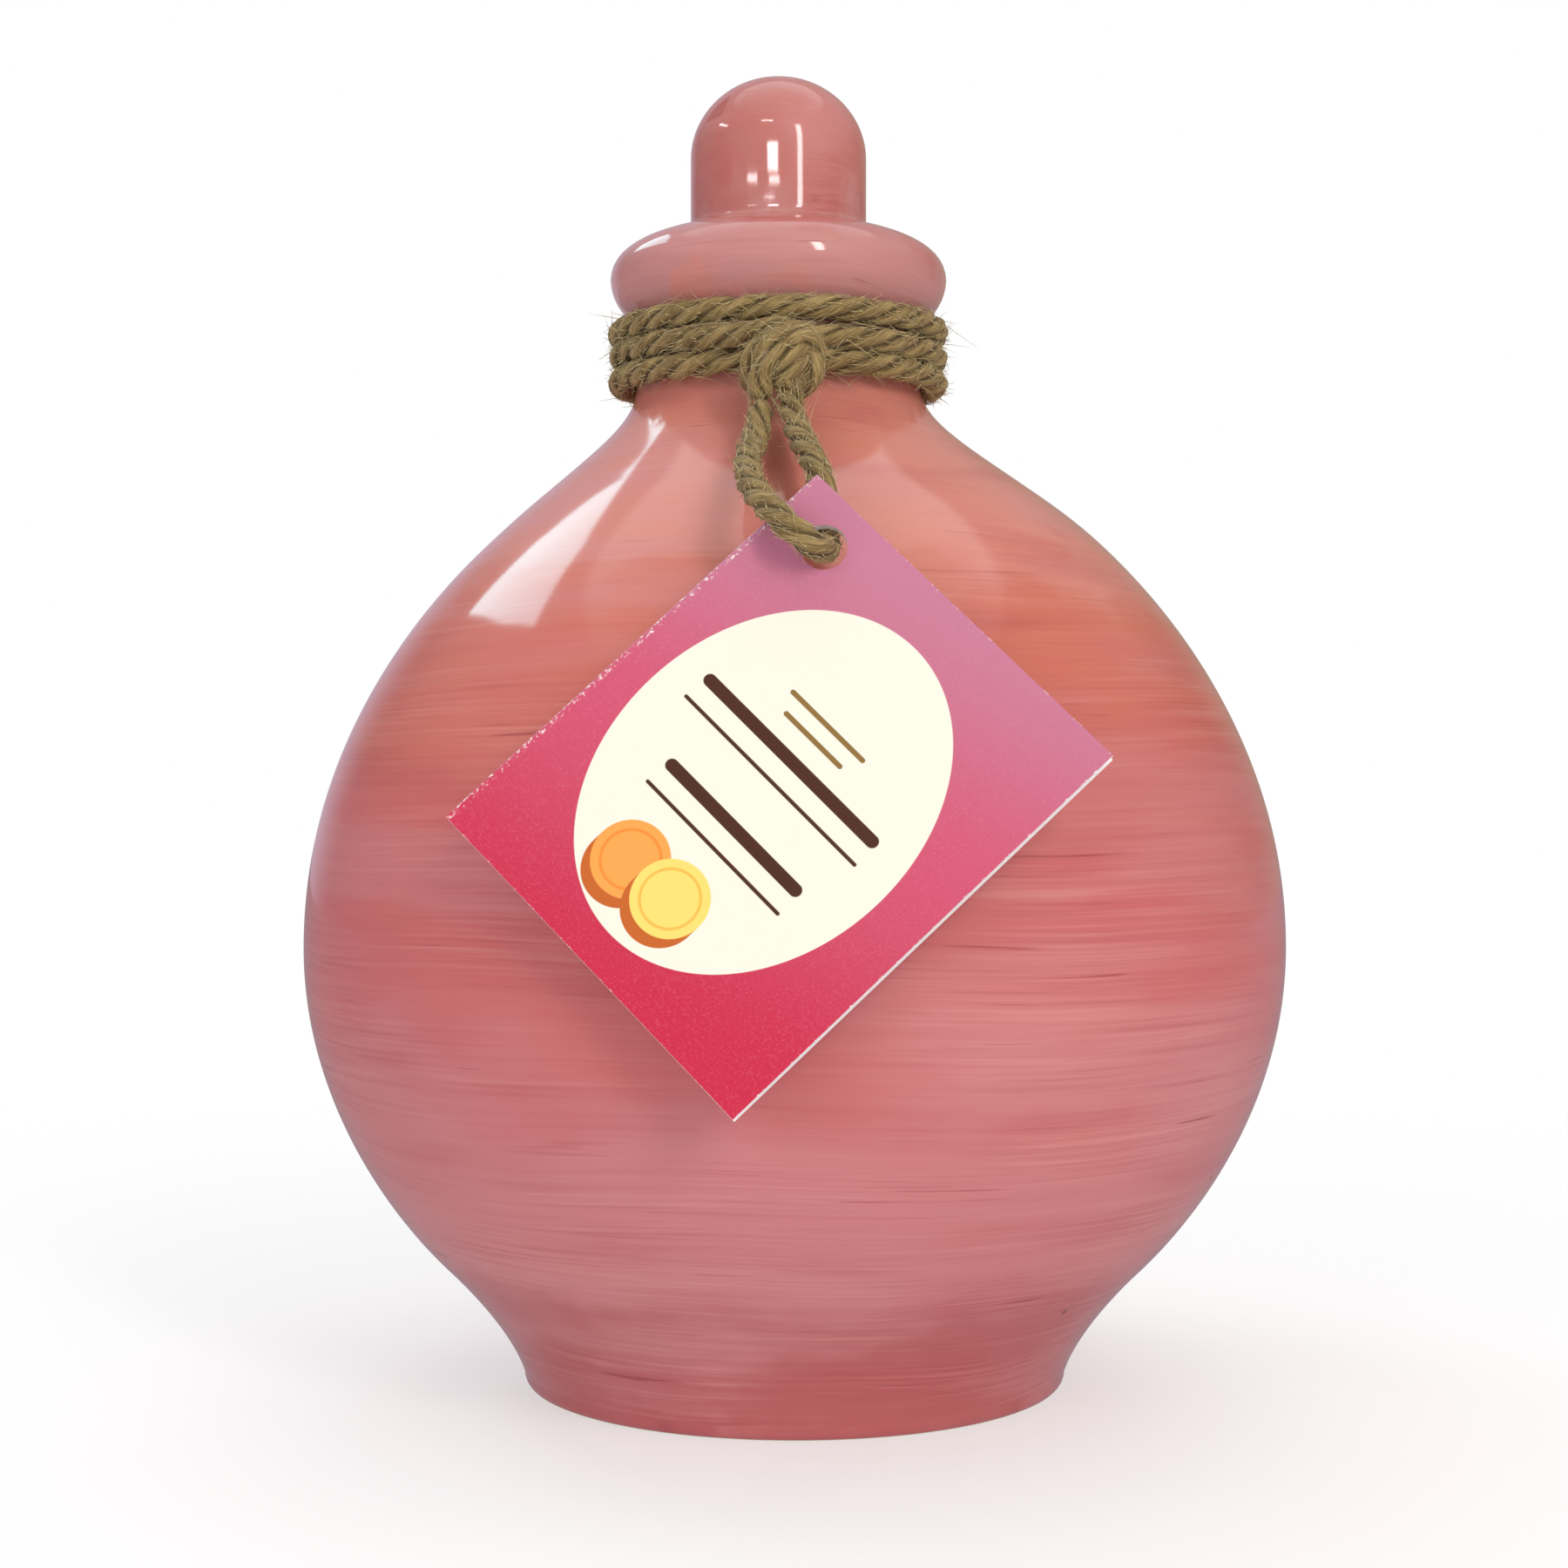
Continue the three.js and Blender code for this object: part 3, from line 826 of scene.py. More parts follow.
def oval(tree, x, z, centre, half_x, half_z):
    """About the distance outside an oval, in millimetres: how far the scaled radius is past one,
    times the smaller half size."""
    u = scalar(tree, "DIVIDE", scalar(tree, "SUBTRACT", x, centre[0]), half_x)
    v = scalar(tree, "DIVIDE", scalar(tree, "SUBTRACT", z, centre[1]), half_z)
    far = scalar(tree, "SQRT", scalar(tree, "ADD", scalar(tree, "MULTIPLY", u, u), scalar(tree, "MULTIPLY", v, v)))
    return scalar(tree, "MULTIPLY", scalar(tree, "SUBTRACT", far, 1.0), min(half_x, half_z))


def inked(tree, distance, edge=0.06):
    """1 inside a printed shape and 0 outside it, with an edge as soft as ink on card."""
    return ramp(tree, distance, edge, -edge)


def printed_card(settings):
    """Coated card with offset print: satin, with a faint tooth of paper and ink worn off along the
    fold and the corners."""
    material, tree = new_material("printed_card_satin")
    card = add_node(tree, "ShaderNodeAttribute", {"attribute_name": "card_place"}, {}).outputs["Vector"]
    parts = add_node(tree, "ShaderNodeSeparateXYZ", {}, {0: card})
    x, z = parts.outputs[0], parts.outputs[2]
    half_x, half_z = TAG["length"] / 2, TAG["width"] / 2

    tilt = scalar(tree, "MULTIPLY_ADD", z, 0.30, x)
    across = ramp(tree, tilt, -half_x - 4, half_x + 6)
    ink = blend_colour(tree, across, linear("#C61D42"), linear("#C07691"))
    middle = ramp(tree, scalar(tree, "ABSOLUTE", scalar(tree, "SUBTRACT", across, 0.5)), 0.5, 0.0, 0.0, 0.5)
    ink = blend_colour(tree, middle, ink, linear("#D04468"))
    tooth = noise(tree, card, (0.22, 0.22, 0.30), 4.0, 0.65)
    ink = blend_colour(tree, ramp(tree, tooth, 0.48, 0.78, 0.0, 0.16), ink, linear("#EFA6BC"))

    # an oval label, blank coins and ruled lines in place of a picture and words
    panel = oval(tree, x, z, (-1.2, 1.0), 22.6, 17.8)
    ink = blend_colour(tree, inked(tree, panel), ink, linear("#ECEADA"))
    for line_x, middle_z, length, thick in (
        (3.1, 1.3, 27.0, 1.5), (0.0, 1.3, 27.0, 0.45), (-6.4, 0.2, 21.0, 1.5), (-9.5, 0.2, 21.0, 0.45),
    ):
        bar = stadium(tree, x, z, (line_x, middle_z), (length - thick) / 2, thick / 2, 90)
        ink = blend_colour(tree, inked(tree, bar), ink, linear("#4A2412"))
    for line_x, middle_z, length in ((8.6, 1.2, 11.5), (6.4, 1.2, 9.0)):
        bar = stadium(tree, x, z, (line_x, middle_z), (length - 0.6) / 2, 0.3, 90)
        ink = blend_colour(tree, inked(tree, bar), ink, linear("#8A6A34"))
    for centre, face, ring_colour in (((-16.7, 5.4), "#F6A04A", "#EE8A30"), ((-16.6, -0.8), "#FBD66E", "#F0B84C")):
        for step in (1.4, 0.7):
            side = oval(tree, x, z, (centre[0] - step, centre[1]), 4.4, 4.4)
            ink = blend_colour(tree, inked(tree, side), ink, linear("#C2611F"))
        coin = oval(tree, x, z, centre, 4.4, 4.4)
        ink = blend_colour(tree, inked(tree, coin), ink, linear(face))
        ring = scalar(tree, "SUBTRACT", scalar(tree, "ABSOLUTE", scalar(tree, "ADD", coin, 1.1)), 0.16)
        ink = blend_colour(tree, inked(tree, ring), ink, linear(ring_colour))

    # the print has cracked and rubbed off in specks along the fold, and less along the cut edges
    fold = scalar(tree, "SUBTRACT", half_z, z)
    ends = scalar(tree, "SUBTRACT", half_x, scalar(tree, "ABSOLUTE", x))
    foot = scalar(tree, "ADD", half_z, z)
    cut = scalar(tree, "MINIMUM", ends, foot)
    chips = noise(tree, card, (0.55, 0.55, 0.45), 4.0, 0.7, offset=(2, 0, 5))
    worn = scalar(tree, "MULTIPLY", ramp(tree, fold, 0.40, 0.0), ramp(tree, chips, 0.52, 0.64))
    nicked = scalar(tree, "MULTIPLY", ramp(tree, cut, 0.16, 0.0), ramp(tree, chips, 0.56, 0.66))
    ink = blend_colour(tree, scalar(tree, "MAXIMUM", worn, nicked), ink, linear("#F6EFEA"))

    bump = add_node(tree, "ShaderNodeBump", {}, {"Strength": 0.18, "Distance": 0.00006, "Height": tooth})
    shader = add_node(
        tree, "ShaderNodeBsdfPrincipled", {},
        {"Base Color": ink, "Roughness": 0.48, "Specular IOR Level": 0.4, "Normal": bump.outputs[0]},
    )
    finish_material(tree, shader)
    return material


def plain_card():
    """The uncoated white inside and the cut edges of the card: matt, faintly cool, with short fibres."""
    material, tree = new_material("white_card_uncoated")
    card = add_node(tree, "ShaderNodeAttribute", {"attribute_name": "card_place"}, {}).outputs["Vector"]
    pulp = noise(tree, card, (0.5, 0.12, 0.35), 4.0, 0.6)
    colour = blend_colour(tree, pulp, linear("#F1EBEF"), linear("#FBF8F6"))
    bump = add_node(tree, "ShaderNodeBump", {}, {"Strength": 0.25, "Distance": 0.00006, "Height": pulp})
    shader = add_node(
        tree, "ShaderNodeBsdfPrincipled", {},
        {"Base Color": colour, "Roughness": 0.75, "Specular IOR Level": 0.3, "Normal": bump.outputs[0]},
    )
    finish_material(tree, shader)
    return material


def studio_floor_paint():
    """Matt white sweep: a faint cloud near the pot, and plain white light further off, as on a table
    that runs into a lit backdrop. The glaze sees it dimmer than the camera does."""
    material, tree = new_material("matt_white_sweep")
    place = add_node(tree, "ShaderNodeTexCoord", {}, {}).outputs["Object"]
    cloud = noise(tree, place, (0.4, 0.4, 0.4), 2.0)
    colour = blend_colour(tree, cloud, linear("#F7F7F8"), linear("#FBFBFB"))
    paint = add_node(tree, "ShaderNodeBsdfPrincipled", {}, {"Base Color": colour, "Roughness": 0.9, "Specular IOR Level": 0.1})
    lit = add_node(tree, "ShaderNodeEmission", {}, {"Color": linear("#FFFFFF"), "Strength": 1.0})
    far = add_node(tree, "ShaderNodeVectorMath", {"operation": "LENGTH"}, {0: place}).outputs["Value"]
    near_and_far = add_node(
        tree, "ShaderNodeMixShader", {}, {0: ramp(tree, far, 0.04, 0.34, 0.50), 1: paint.outputs[0], 2: lit.outputs[0]}
    )
    dim = add_node(tree, "ShaderNodeEmission", {}, {"Color": linear("#978E94"), "Strength": 1.0})
    seen = add_node(tree, "ShaderNodeLightPath", {}, {}).outputs["Is Glossy Ray"]
    shader = add_node(tree, "ShaderNodeMixShader", {}, {0: seen, 1: near_and_far.outputs[0], 2: dim.outputs[0]})
    finish_material(tree, shader)
    return material


def window_glass():
    """Daylight through a pane: an even pale blue light on the side that faces the pot."""
    material, tree = new_material("daylight_pane")
    light = add_node(tree, "ShaderNodeEmission", {}, {"Color": linear("#CCF8FF"), "Strength": 5.0})
    finish_material(tree, light)
    return material


# ------------------------------------------------------------------ settings


class MoneyPotSettings(bpy.types.PropertyGroup):
    """Sizes and finishes that a user would change."""

    glaze_specular: FloatProperty(name="Glaze gloss", description="Strength of the glaze's mirror", default=0.5, min=0, max=1)
    fibres_per_mm: FloatProperty(name="Loose fibres", description="Stray fibres on each millimetre of twine", default=12.0, min=0)
    lay_mm: FloatProperty(name="Lay length", description="Length of twine in which a ply goes once round, in mm", default=13.5, min=4)
    camera_distance: FloatProperty(name="Camera distance", description="From the pot's axis", default=0.342, unit="LENGTH")


class MoneyPotStudio(bpy.types.PropertyGroup):
    """The lights and the room's strength."""

    key: FloatProperty(name="Key", description="Power of the large light at the front right", default=4.4, unit="POWER")
    fill: FloatProperty(name="Fill", description="Power of the large light at the front left", default=5.6, unit="POWER")
    overhead: FloatProperty(name="Overhead", description="Power of the soft light above", default=2.0, unit="POWER")
    back: FloatProperty(name="Back", description="Power of the large light behind", default=3.0, unit="POWER")
    strip: FloatProperty(name="Strip", description="Power of the narrow light that the knob mirrors", default=6.0, unit="POWER")
    ambient: FloatProperty(name="Ambient", description="Strength of the room", default=1.0, min=0)


# ------------------------------------------------------------------ operators

FINISHES = {}


def finish_of(name, make, *arguments):
    """Makes a material the first time that a piece asks for it."""
    if name not in FINISHES:
        FINISHES[name] = make(*arguments)
    return FINISHES[name]


def glaze_flow(points, outside):
    """Glaze coordinates, in metres: the direction round the axis times the belly's radius, and the
    distance along the profile."""
    r = np.maximum(np.hypot(points[:, 0], points[:, 1]), 1e-6)
    length = np.interp(points[:, 2], outside[:, 1], along(outside))
    return np.stack([points[:, 0] / r * BELLY[0], points[:, 1] / r * BELLY[0], length], axis=1) * MM


class MONEYPOT_OT_pot(bpy.types.Operator):
    """Turns the hollow pot with its slot"""

    bl_idname = "moneypot.pot"
    bl_label = "Pot"

    def execute(self, context):
        shape = PotShape()
        points, faces, bare = shape.build()
        glaze = finish_of("glaze", glazed_slip, context.scene.money_pot)
        piece = new_piece("glazed_pot", leaned(points), faces, glaze, sharp=50)
        outline = chain(wall_outside(), collar_outside()[:-1])
        set_vectors(piece, "glaze_flow", glaze_flow(points, outline))
        set_vectors(piece, "bare_clay", np.stack([bare] * 3, axis=1))
        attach(piece, "pot")
        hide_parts("pot_lower_half", "pot_upper_half")
        return {"FINISHED"}


class MONEYPOT_OT_knob(bpy.types.Operator):
    """Turns the domed knob"""

    bl_idname = "moneypot.knob"
    bl_label = "Knob"

    def execute(self, context):
        foot = KNOB_FOOT - 0.24
        side = (KNOB_R, KNOB_FOOT + 1.3)
        profile = chain(
            [(3, TENON[1]), TENON, (TENON[0], foot), (KNOB_R + 1.4, foot)],
            cubic((KNOB_R + 1.4, foot), (KNOB_R + 0.45, foot + 0.25), (KNOB_R, foot + 0.7), side, 8),
            spaced(np.array([side, (KNOB_R, KNOB_SHOULDER)]), 0.8),
            cubic((KNOB_R, KNOB_SHOULDER), (KNOB_R, 165), (6.6, HEIGHT), (0.25, HEIGHT), 26),
        )
        columns = 96
        angle = TAU * np.arange(columns) / columns
        x, y = profile[:, :1] * np.sin(angle), profile[:, :1] * np.cos(angle)
        grid = np.stack([x, y, np.broadcast_to(profile[:, 1:], x.shape)], axis=-1).reshape(-1, 3)
        rows = len(profile)
        points = np.concatenate([grid, [[0, 0, TENON[1]], [0, 0, HEIGHT]]])
        i, n = np.arange(columns), rows * columns
        k = (i + 1) % columns
        low = np.stack([np.full(columns, n), i, k], axis=-1)
        high = np.stack([np.full(columns, n + 1), n - columns + k, n - columns + i], axis=-1)
        glaze = finish_of("glaze", glazed_slip, context.scene.money_pot)
        faces = [grid_faces(rows, columns)[:, ::-1], low, high]
        piece = new_piece("glazed_knob", leaned(points), faces, glaze, sharp=60)
        set_vectors(piece, "glaze_flow", glaze_flow(points, profile[3:]) + np.array([0, 0, 0.21]))
        set_vectors(piece, "bare_clay", np.zeros((len(points), 3)))
        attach(piece, "pot")
        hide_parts("crown_knob")
        self.small_lamps(piece)
        return {"FINISHED"}

    @staticmethod
    def small_lamps(piece):
        """The lamps that show as bright points and one dash on the knob, which doesn't see the window.

        Each shows at a chosen place of the knob: across from its axis and up. The surface there faces away from
        the axis, and above the shoulder it also tilts up as an ellipse does. The camera's ray is mirrored
        there, and the lamp stands 25 mm along it.
        """
        camera = Vector((-1.37, -342, 77.6))
        rise = 170 - KNOB_SHOULDER
        places = ((-7, 161.9, 1), (-1.4, 161.9, 1), (-0.7, 159, 1), (-0.7, 157, 4), (-3.3, 154.5, 1),
                  (-0.5, 154.2, 1), (-1.1, 151.6, 1))
        for k, (across, up, high) in enumerate(places):
            s = max(up - KNOB_SHOULDER, 0) / rise
            r = KNOB_R * math.sqrt(1 - s * s)
            turn, tilt = math.asin(across / r), math.atan2(s * KNOB_R, math.sqrt(1 - s * s) * rise)
            out = Vector((math.sin(turn) * math.cos(tilt), -math.cos(turn) * math.cos(tilt), math.sin(tilt)))
            spot = Vector((LEAN["x"] + across, -r * math.cos(turn), up))
            ray = (spot - camera).normalized()
            way = ray - 2 * ray.dot(out) * out
            lamp = aimed_light(f"lamp_{k}", 0, 0, (0.007, 0.0009 * high), 0.00045 * high, True)
            lamp.location = (spot + 25 * way) * MM
            lamp.rotation_euler = (-way).to_track_quat("-Z", "Y").to_euler()
            lamp.visible_diffuse = lamp.visible_camera = False
            light_on(lamp, piece, "INCLUDE")
        light_on(bpy.data.objects["window"], piece, "EXCLUDE")


def light_on(light, piece, state):
    """Makes a light shine on one piece only, or on all but that piece."""
    receivers = bpy.data.collections.new(light.name + "_receivers")
    receivers.objects.link(piece)
    receivers.collection_objects[0].light_linking.link_state = state
    light.light_linking.receiver_collection = receivers


def new_twine(name, parts):
    """A cord's mesh with its strand coordinates."""
    points, faces, strand = joined(parts)
    jute = finish_of("jute", jute_fibre, "natural_jute_laid", "#665230", "#A99160", 0.08)
    piece = new_piece(name, points, faces, jute)
    set_vectors(piece, "strand", strand)
    return piece


def new_fuzz(name, parts):
    """Loose fibres as a piece of their own."""
    points, faces, strand = joined(parts)
    jute = finish_of("fuzz", jute_fibre, "natural_jute_loose_fibre", "#8F7B49", "#D8C592", 0.2)
    piece = new_piece(name, points, faces, jute)
    set_vectors(piece, "strand", strand)
    return piece


class MONEYPOT_OT_coil(bpy.types.Operator):
    """Winds the twine round the neck"""

    bl_idname = "moneypot.coil"
    bl_label = "Twine coil"

    def execute(self, context):
        settings = context.scene.money_pot
        routes = [coil_turn(turn) for turn in range(COIL["turns"])]
        piece = new_twine("jute_coil", [closed_cord(r, settings.lay_mm, 11 + k) for k, r in enumerate(routes)])
        fibres = [loose_fibres(r, TWINE_R, settings.fibres_per_mm, 21 + k, 5.0) for k, r in enumerate(routes)]
        fibres += [loose_fibres(r, TWINE_R, 0.4, 26 + k, 12.0, 0.085) for k, r in enumerate(routes)]
        fuzz = new_fuzz("jute_coil_fuzz", fibres)
        for one in (piece, fuzz):
            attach(one, "pot")
        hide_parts("twine_coil")
        return {"FINISHED"}


class MONEYPOT_OT_knot(bpy.types.Operator):
    """Ties the knot at the front of the neck"""

    bl_idname = "moneypot.knot"
    bl_label = "Twine knot"

    def execute(self, context):
        settings = context.scene.money_pot
        routes = [smooth_route(strand, 0.3) for strand in KNOT_STRANDS]
        cords = [twisted_cord(r, TWINE_R * 0.95, settings.lay_mm, 31 + k) for k, r in enumerate(routes)]
        piece = new_twine("jute_knot", cords)
        fibres = [loose_fibres(r, TWINE_R * 0.95, settings.fibres_per_mm, 41 + k, 5.0) for k, r in enumerate(routes)]
        fuzz = new_fuzz("jute_knot_fuzz", fibres)
        for one in (piece, fuzz):
            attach(one, "pot")
        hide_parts("twine_knot")
        return {"FINISHED"}


class MONEYPOT_OT_loop(bpy.types.Operator):
    """Hangs the loop from the knot through the tag"""

    bl_idname = "moneypot.loop"
    bl_label = "Twine loop"

    def execute(self, context):
        settings = context.scene.money_pot
        route = smooth_route(LOOP_ROUTE, 0.3)
        piece = new_twine("jute_loop", [twisted_cord(route, TWINE_R, settings.lay_mm, 51)])
        fuzz = new_fuzz("jute_loop_fuzz", [loose_fibres(route, TWINE_R, settings.fibres_per_mm, 61, 5.0)])
        for one in (piece, fuzz):
            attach(one, "loop")
        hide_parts("twine_loop")
        return {"FINISHED"}


def new_leaf(name, front, settings):
    """One leaf of the card: its printed face, its white face, and the cut edges of outline and hole."""
    flat, near, far = leaf_points(front)
    rings, around = flat.shape[:2]
    n = rings * around
    points = np.concatenate([near.reshape(-1, 3), far.reshape(-1, 3)])
    near_faces = grid_faces(rings, around)
    far_faces = grid_faces(rings, around, first=n)[:, ::-1]
    i = np.arange(around)
    k = (i + 1) % around
    hole = np.stack([i, n + i, n + k, k], axis=-1)
    last = (rings - 1) * around
    rim = np.stack([last + i, last + k, n + last + k, n + last + i], axis=-1)
    faces = [near_faces, far_faces, hole, rim]
    if front:
        faces = [f[:, ::-1] for f in faces]
    finishes = [finish_of("print", printed_card, settings), finish_of("card", plain_card)]
    piece = new_piece(name, placed_on_tag(points), [np.asarray(f)[:, ::-1] for f in faces], finishes, sharp=40)
    index = np.concatenate([np.full(len(near_faces), 1), np.full(len(far_faces), 0), np.full(len(hole) + len(rim), 1)])
    piece.data.polygons.foreach_set("material_index", index.astype(np.int32))
    set_vectors(piece, "card_place", points)
    return piece


class MONEYPOT_OT_tag(bpy.types.Operator):
    """Folds and prints the card tag"""

    bl_idname = "moneypot.tag"
    bl_label = "Card tag"

    def execute(self, context):
        settings = context.scene.money_pot
        for name, node, body, front in (
            ("card_front", "tag_front_leaf", "tag_front", True),
            ("card_back", "tag_back_leaf", "tag_back", False),
        ):
            leaf = new_leaf(name, front, settings)
            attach(leaf, body)
            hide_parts(node)
        self.fold(settings)
        return {"FINISHED"}

    @staticmethod
    def fold(settings):
        """The crease: a strip bent half round the fold line, from the back leaf to the front leaf."""
        turn = np.linspace(-math.pi / 2, math.pi / 2, 13)[:, None]
        x = np.linspace(-TAG["length"] / 2, TAG["length"] / 2, 60)[None]
        inner, outer = TAG["gap"] / 2, TAG["gap"] / 2 + TAG["card"]
        top = TAG["width"] / 2
        skin = lambda r: np.stack(
            [np.broadcast_to(x, (13, 60)), np.broadcast_to(-r * np.sin(turn), (13, 60)), np.broadcast_to(top + r * np.cos(turn), (13, 60))],
            axis=-1,
        )
        points = np.concatenate([skin(outer).reshape(-1, 3), skin(inner).reshape(-1, 3)])
        n = 13 * 60
        out = grid_faces(13, 60, closed=False)
        inn = grid_faces(13, 60, first=n, closed=False)[:, ::-1]
        j = np.arange(12) * 60
        ends = [
            np.stack([j, j + 60, n + j + 60, n + j], axis=-1),
            np.stack([j + 59, n + j + 59, n + j + 119, j + 119], axis=-1),
        ]
        i = np.arange(59)
        edges = [
            np.stack([i, n + i, n + i + 1, i + 1], axis=-1),
            np.stack([12 * 60 + i, 12 * 60 + i + 1, n + 12 * 60 + i + 1, n + 12 * 60 + i], axis=-1),
        ]
        finishes = [finish_of("print", printed_card, settings), finish_of("card", plain_card)]
        piece = new_piece("card_fold", placed_on_tag(points), [out, inn, *ends, *edges], finishes, sharp=40)
        index = np.concatenate([np.zeros(len(out)), np.ones(len(inn) + sum(len(a) for a in ends + edges))])
        piece.data.polygons.foreach_set("material_index", index.astype(np.int32))
        set_vectors(piece, "card_place", points)
        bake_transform(piece)


def aimed_light(name, azimuth, elevation, size, power, mirrored, colour="#FFFFFF"):
    """A rectangular area light 1.5 m from the pot's middle and facing it.

    The azimuth is counted from the front, positive to the right. A light that isn't mirrored shades
    the glaze but isn't seen in it.
    """
    data = bpy.data.lights.new(name, "AREA")
    data.shape = "RECTANGLE"
    data.size, data.size_y = size
    data.energy = power
    data.color = linear(colour)[:3]
    light = bpy.data.objects.new(name, data)
    a, e = math.radians(azimuth), math.radians(elevation)
    way = Vector((math.sin(a) * math.cos(e), -math.cos(a) * math.cos(e), math.sin(e)))
    light.location = Vector((0, 0, 0.1)) + 1.5 * way
    light.rotation_euler = (-way).to_track_quat("-Z", "Y").to_euler()
    light.visible_glossy = mirrored
    bpy.context.scene.collection.objects.link(light)
    return light


class MONEYPOT_OT_stage(bpy.types.Operator):
    """Sets the floor, the lights and the camera"""

    bl_idname = "moneypot.stage"
    bl_label = "Stage"

    def execute(self, context):
        scene = context.scene
        studio = scene.money_pot_studio
        half = 6000.0
        corners = [(-half, -half, -0.1), (half, -half, -0.1), (half, half, -0.1), (-half, half, -0.1)]
        mesh = bpy.data.meshes.new("floor")
        mesh.from_pydata([[c * MM for c in p] for p in corners], [], [(0, 1, 2, 3)])
        mesh.materials.append(studio_floor_paint())
        floor = bpy.data.objects.new("floor", mesh)
        scene.collection.objects.link(floor)
        self.surroundings(scene, studio)
        self.window(scene)
        aimed_light("key", 32, 26, (0.9, 0.9), studio.key, False, "#FFF8F2")
        aimed_light("fill", -38, 18, (0.9, 0.9), studio.fill, False, "#F6F7FF")
        aimed_light("overhead", 0, 85, (1.6, 1.6), studio.overhead, False)
        aimed_light("back", 172, 38, (0.9, 0.9), studio.back, False)
        aimed_light("strip", 28, 25, (0.16, 0.70), studio.strip, True, "#FFFCF8")
        self.camera(scene)
        scene.view_settings.view_transform = "Standard"
        return {"FINISHED"}

    @staticmethod
    def window(scene):
        """The pane behind the left shoulder: an outline in a plane that faces the pot, 1.5 m off."""
        toward = np.array([-0.56, 0.50, 0.66])
        toward /= np.linalg.norm(toward)
        level = np.cross([0, 0, 1], toward)
        level /= np.linalg.norm(level)
        up = np.cross(toward, level)
        outline = np.array([(-0.37, 0.14), (-0.29, -0.12), (-0.12, -0.30), (0.24, -0.03), (0.42, 0.17), (0.0, 0.23)])
        points = np.array([-0.869, 0.718, 1.094]) + outline[:, :1] * level + outline[:, 1:] * up
        mesh = bpy.data.meshes.new("window")
        mesh.from_pydata(points.tolist(), [], [tuple(range(len(outline)))[::-1]])
        mesh.materials.append(window_glass())
        pane = bpy.data.objects.new("window", mesh)
        pane.visible_camera = False
        scene.collection.objects.link(pane)

    @staticmethod
    def surroundings(scene, studio):
        """The room: a bright ceiling, dim walls at the sides and in front, and a backdrop behind that
        is lilac at the left and duller at the right. The camera sees plain white."""
        world = bpy.data.worlds.new("studio_surroundings")
        world.use_nodes = True
        tree = world.node_tree
        tree.nodes.clear()
        way = add_node(tree, "ShaderNodeTexCoord", {}, {}).outputs["Generated"]
        x, y, z = add_node(tree, "ShaderNodeSeparateXYZ", {}, {0: way}).outputs[:3]
        left = ramp(tree, x, 0.20, -0.20)
        backdrop = blend_colour(tree, left, (0.36, 0.30, 0.25, 1), (0.55, 0.48, 0.58, 1))
        walls = blend_colour(tree, left, (0.18, 0.15, 0.13, 1), (0.22, 0.18, 0.20, 1))
        room = blend_colour(tree, ramp(tree, y, 0.66, 0.92), walls, backdrop)
        high = blend_colour(tree, left, (0.48, 0.44, 0.42, 1), (0.60, 0.53, 0.60, 1))
        room = blend_colour(tree, ramp(tree, z, 0.30, 0.62), room, high)
        front = blend_colour(tree, ramp(tree, x, -0.1, 0.45), (0.30, 0.28, 0.27, 1), (0.55, 0.53, 0.50, 1))
        room = blend_colour(tree, ramp(tree, y, -0.25, -0.55), room, front)
        ceiling = blend_colour(tree, ramp(tree, y, -0.25, 0.35), (0.80, 0.77, 0.72, 1), (1.35, 1.35, 1.35, 1))
        room = blend_colour(tree, ramp(tree, z, 0.80, 0.83), room, ceiling)
        seen = add_node(tree, "ShaderNodeLightPath", {}, {}).outputs["Is Camera Ray"]
        colour = blend_colour(tree, seen, room, (1, 1, 1, 1))
        level = scalar(tree, "MAXIMUM", studio.ambient, seen)
        back = add_node(tree, "ShaderNodeBackground", {}, {"Color": colour, "Strength": level})
        add_node(tree, "ShaderNodeOutputWorld", {}, {"Surface": back.outputs[0]})
        scene.world = world

    @staticmethod
    def camera(scene):
        """A level camera in front of the tag, a hand's breadth above the table."""
        data = bpy.data.cameras.new("camera")
        data.sensor_width = 36.0
        data.lens = 59.84
        data.clip_start = 0.01
        camera = bpy.data.objects.new("camera", data)
        camera.location = (-0.00137, -scene.money_pot.camera_distance, 0.0776)
        camera.rotation_euler = (math.radians(90), 0, 0)
        scene.collection.objects.link(camera)
        scene.camera = camera


class MONEYPOT_PT_panel(bpy.types.Panel):
    """Lists the pot's pieces and their settings"""

    bl_label = "Money Pot"
    bl_idname = "MONEYPOT_PT_panel"
    bl_space_type = "VIEW_3D"
    bl_region_type = "UI"
    bl_category = "Money Pot"

    def draw(self, context):
        layout = self.layout
        for operator in PIECES:
            layout.operator(operator.bl_idname)
        for group in (context.scene.money_pot, context.scene.money_pot_studio):
            for name in group.__annotations__:
                layout.prop(group, name)


PIECES = (
    MONEYPOT_OT_stage,
    MONEYPOT_OT_loop,
    MONEYPOT_OT_pot,
    MONEYPOT_OT_knob,
    MONEYPOT_OT_coil,
    MONEYPOT_OT_knot,
    MONEYPOT_OT_tag,
)
CLASSES = (MoneyPotSettings, MoneyPotStudio, *PIECES, MONEYPOT_PT_panel)


def register():
    for cls in CLASSES:
        bpy.utils.register_class(cls)
    bpy.types.Scene.money_pot = PointerProperty(type=MoneyPotSettings)
    bpy.types.Scene.money_pot_studio = PointerProperty(type=MoneyPotStudio)


def unregister():
    del bpy.types.Scene.money_pot_studio
    del bpy.types.Scene.money_pot
    for cls in reversed(CLASSES):
        bpy.utils.unregister_class(cls)


def main():
    """Makes every piece in order."""
    register()
    for operator in PIECES:
        group, name = operator.bl_idname.split(".")
        getattr(getattr(bpy.ops, group), name)()


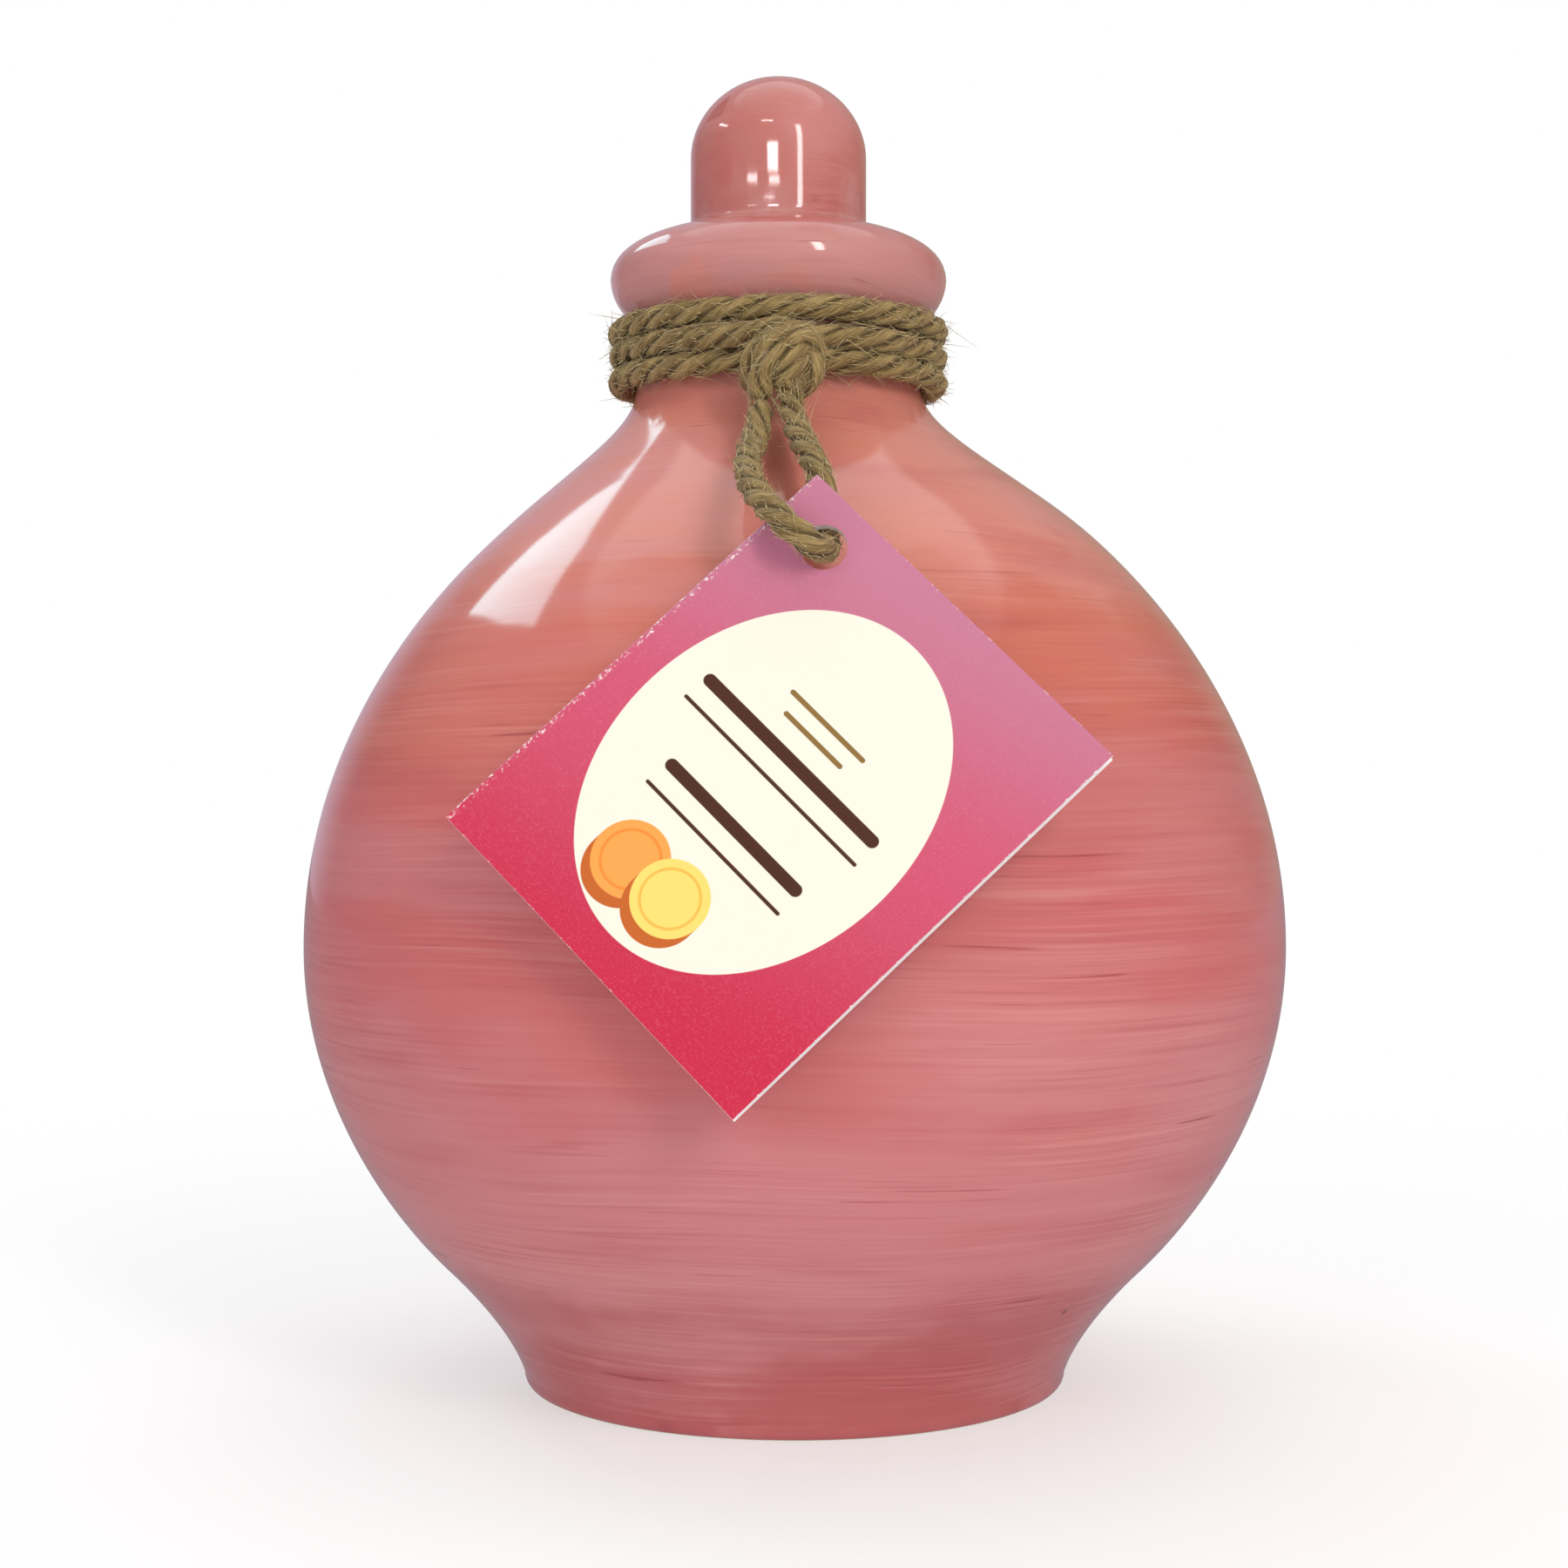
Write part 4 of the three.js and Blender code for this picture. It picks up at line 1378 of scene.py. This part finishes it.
if __name__ == "__main__":
    main()
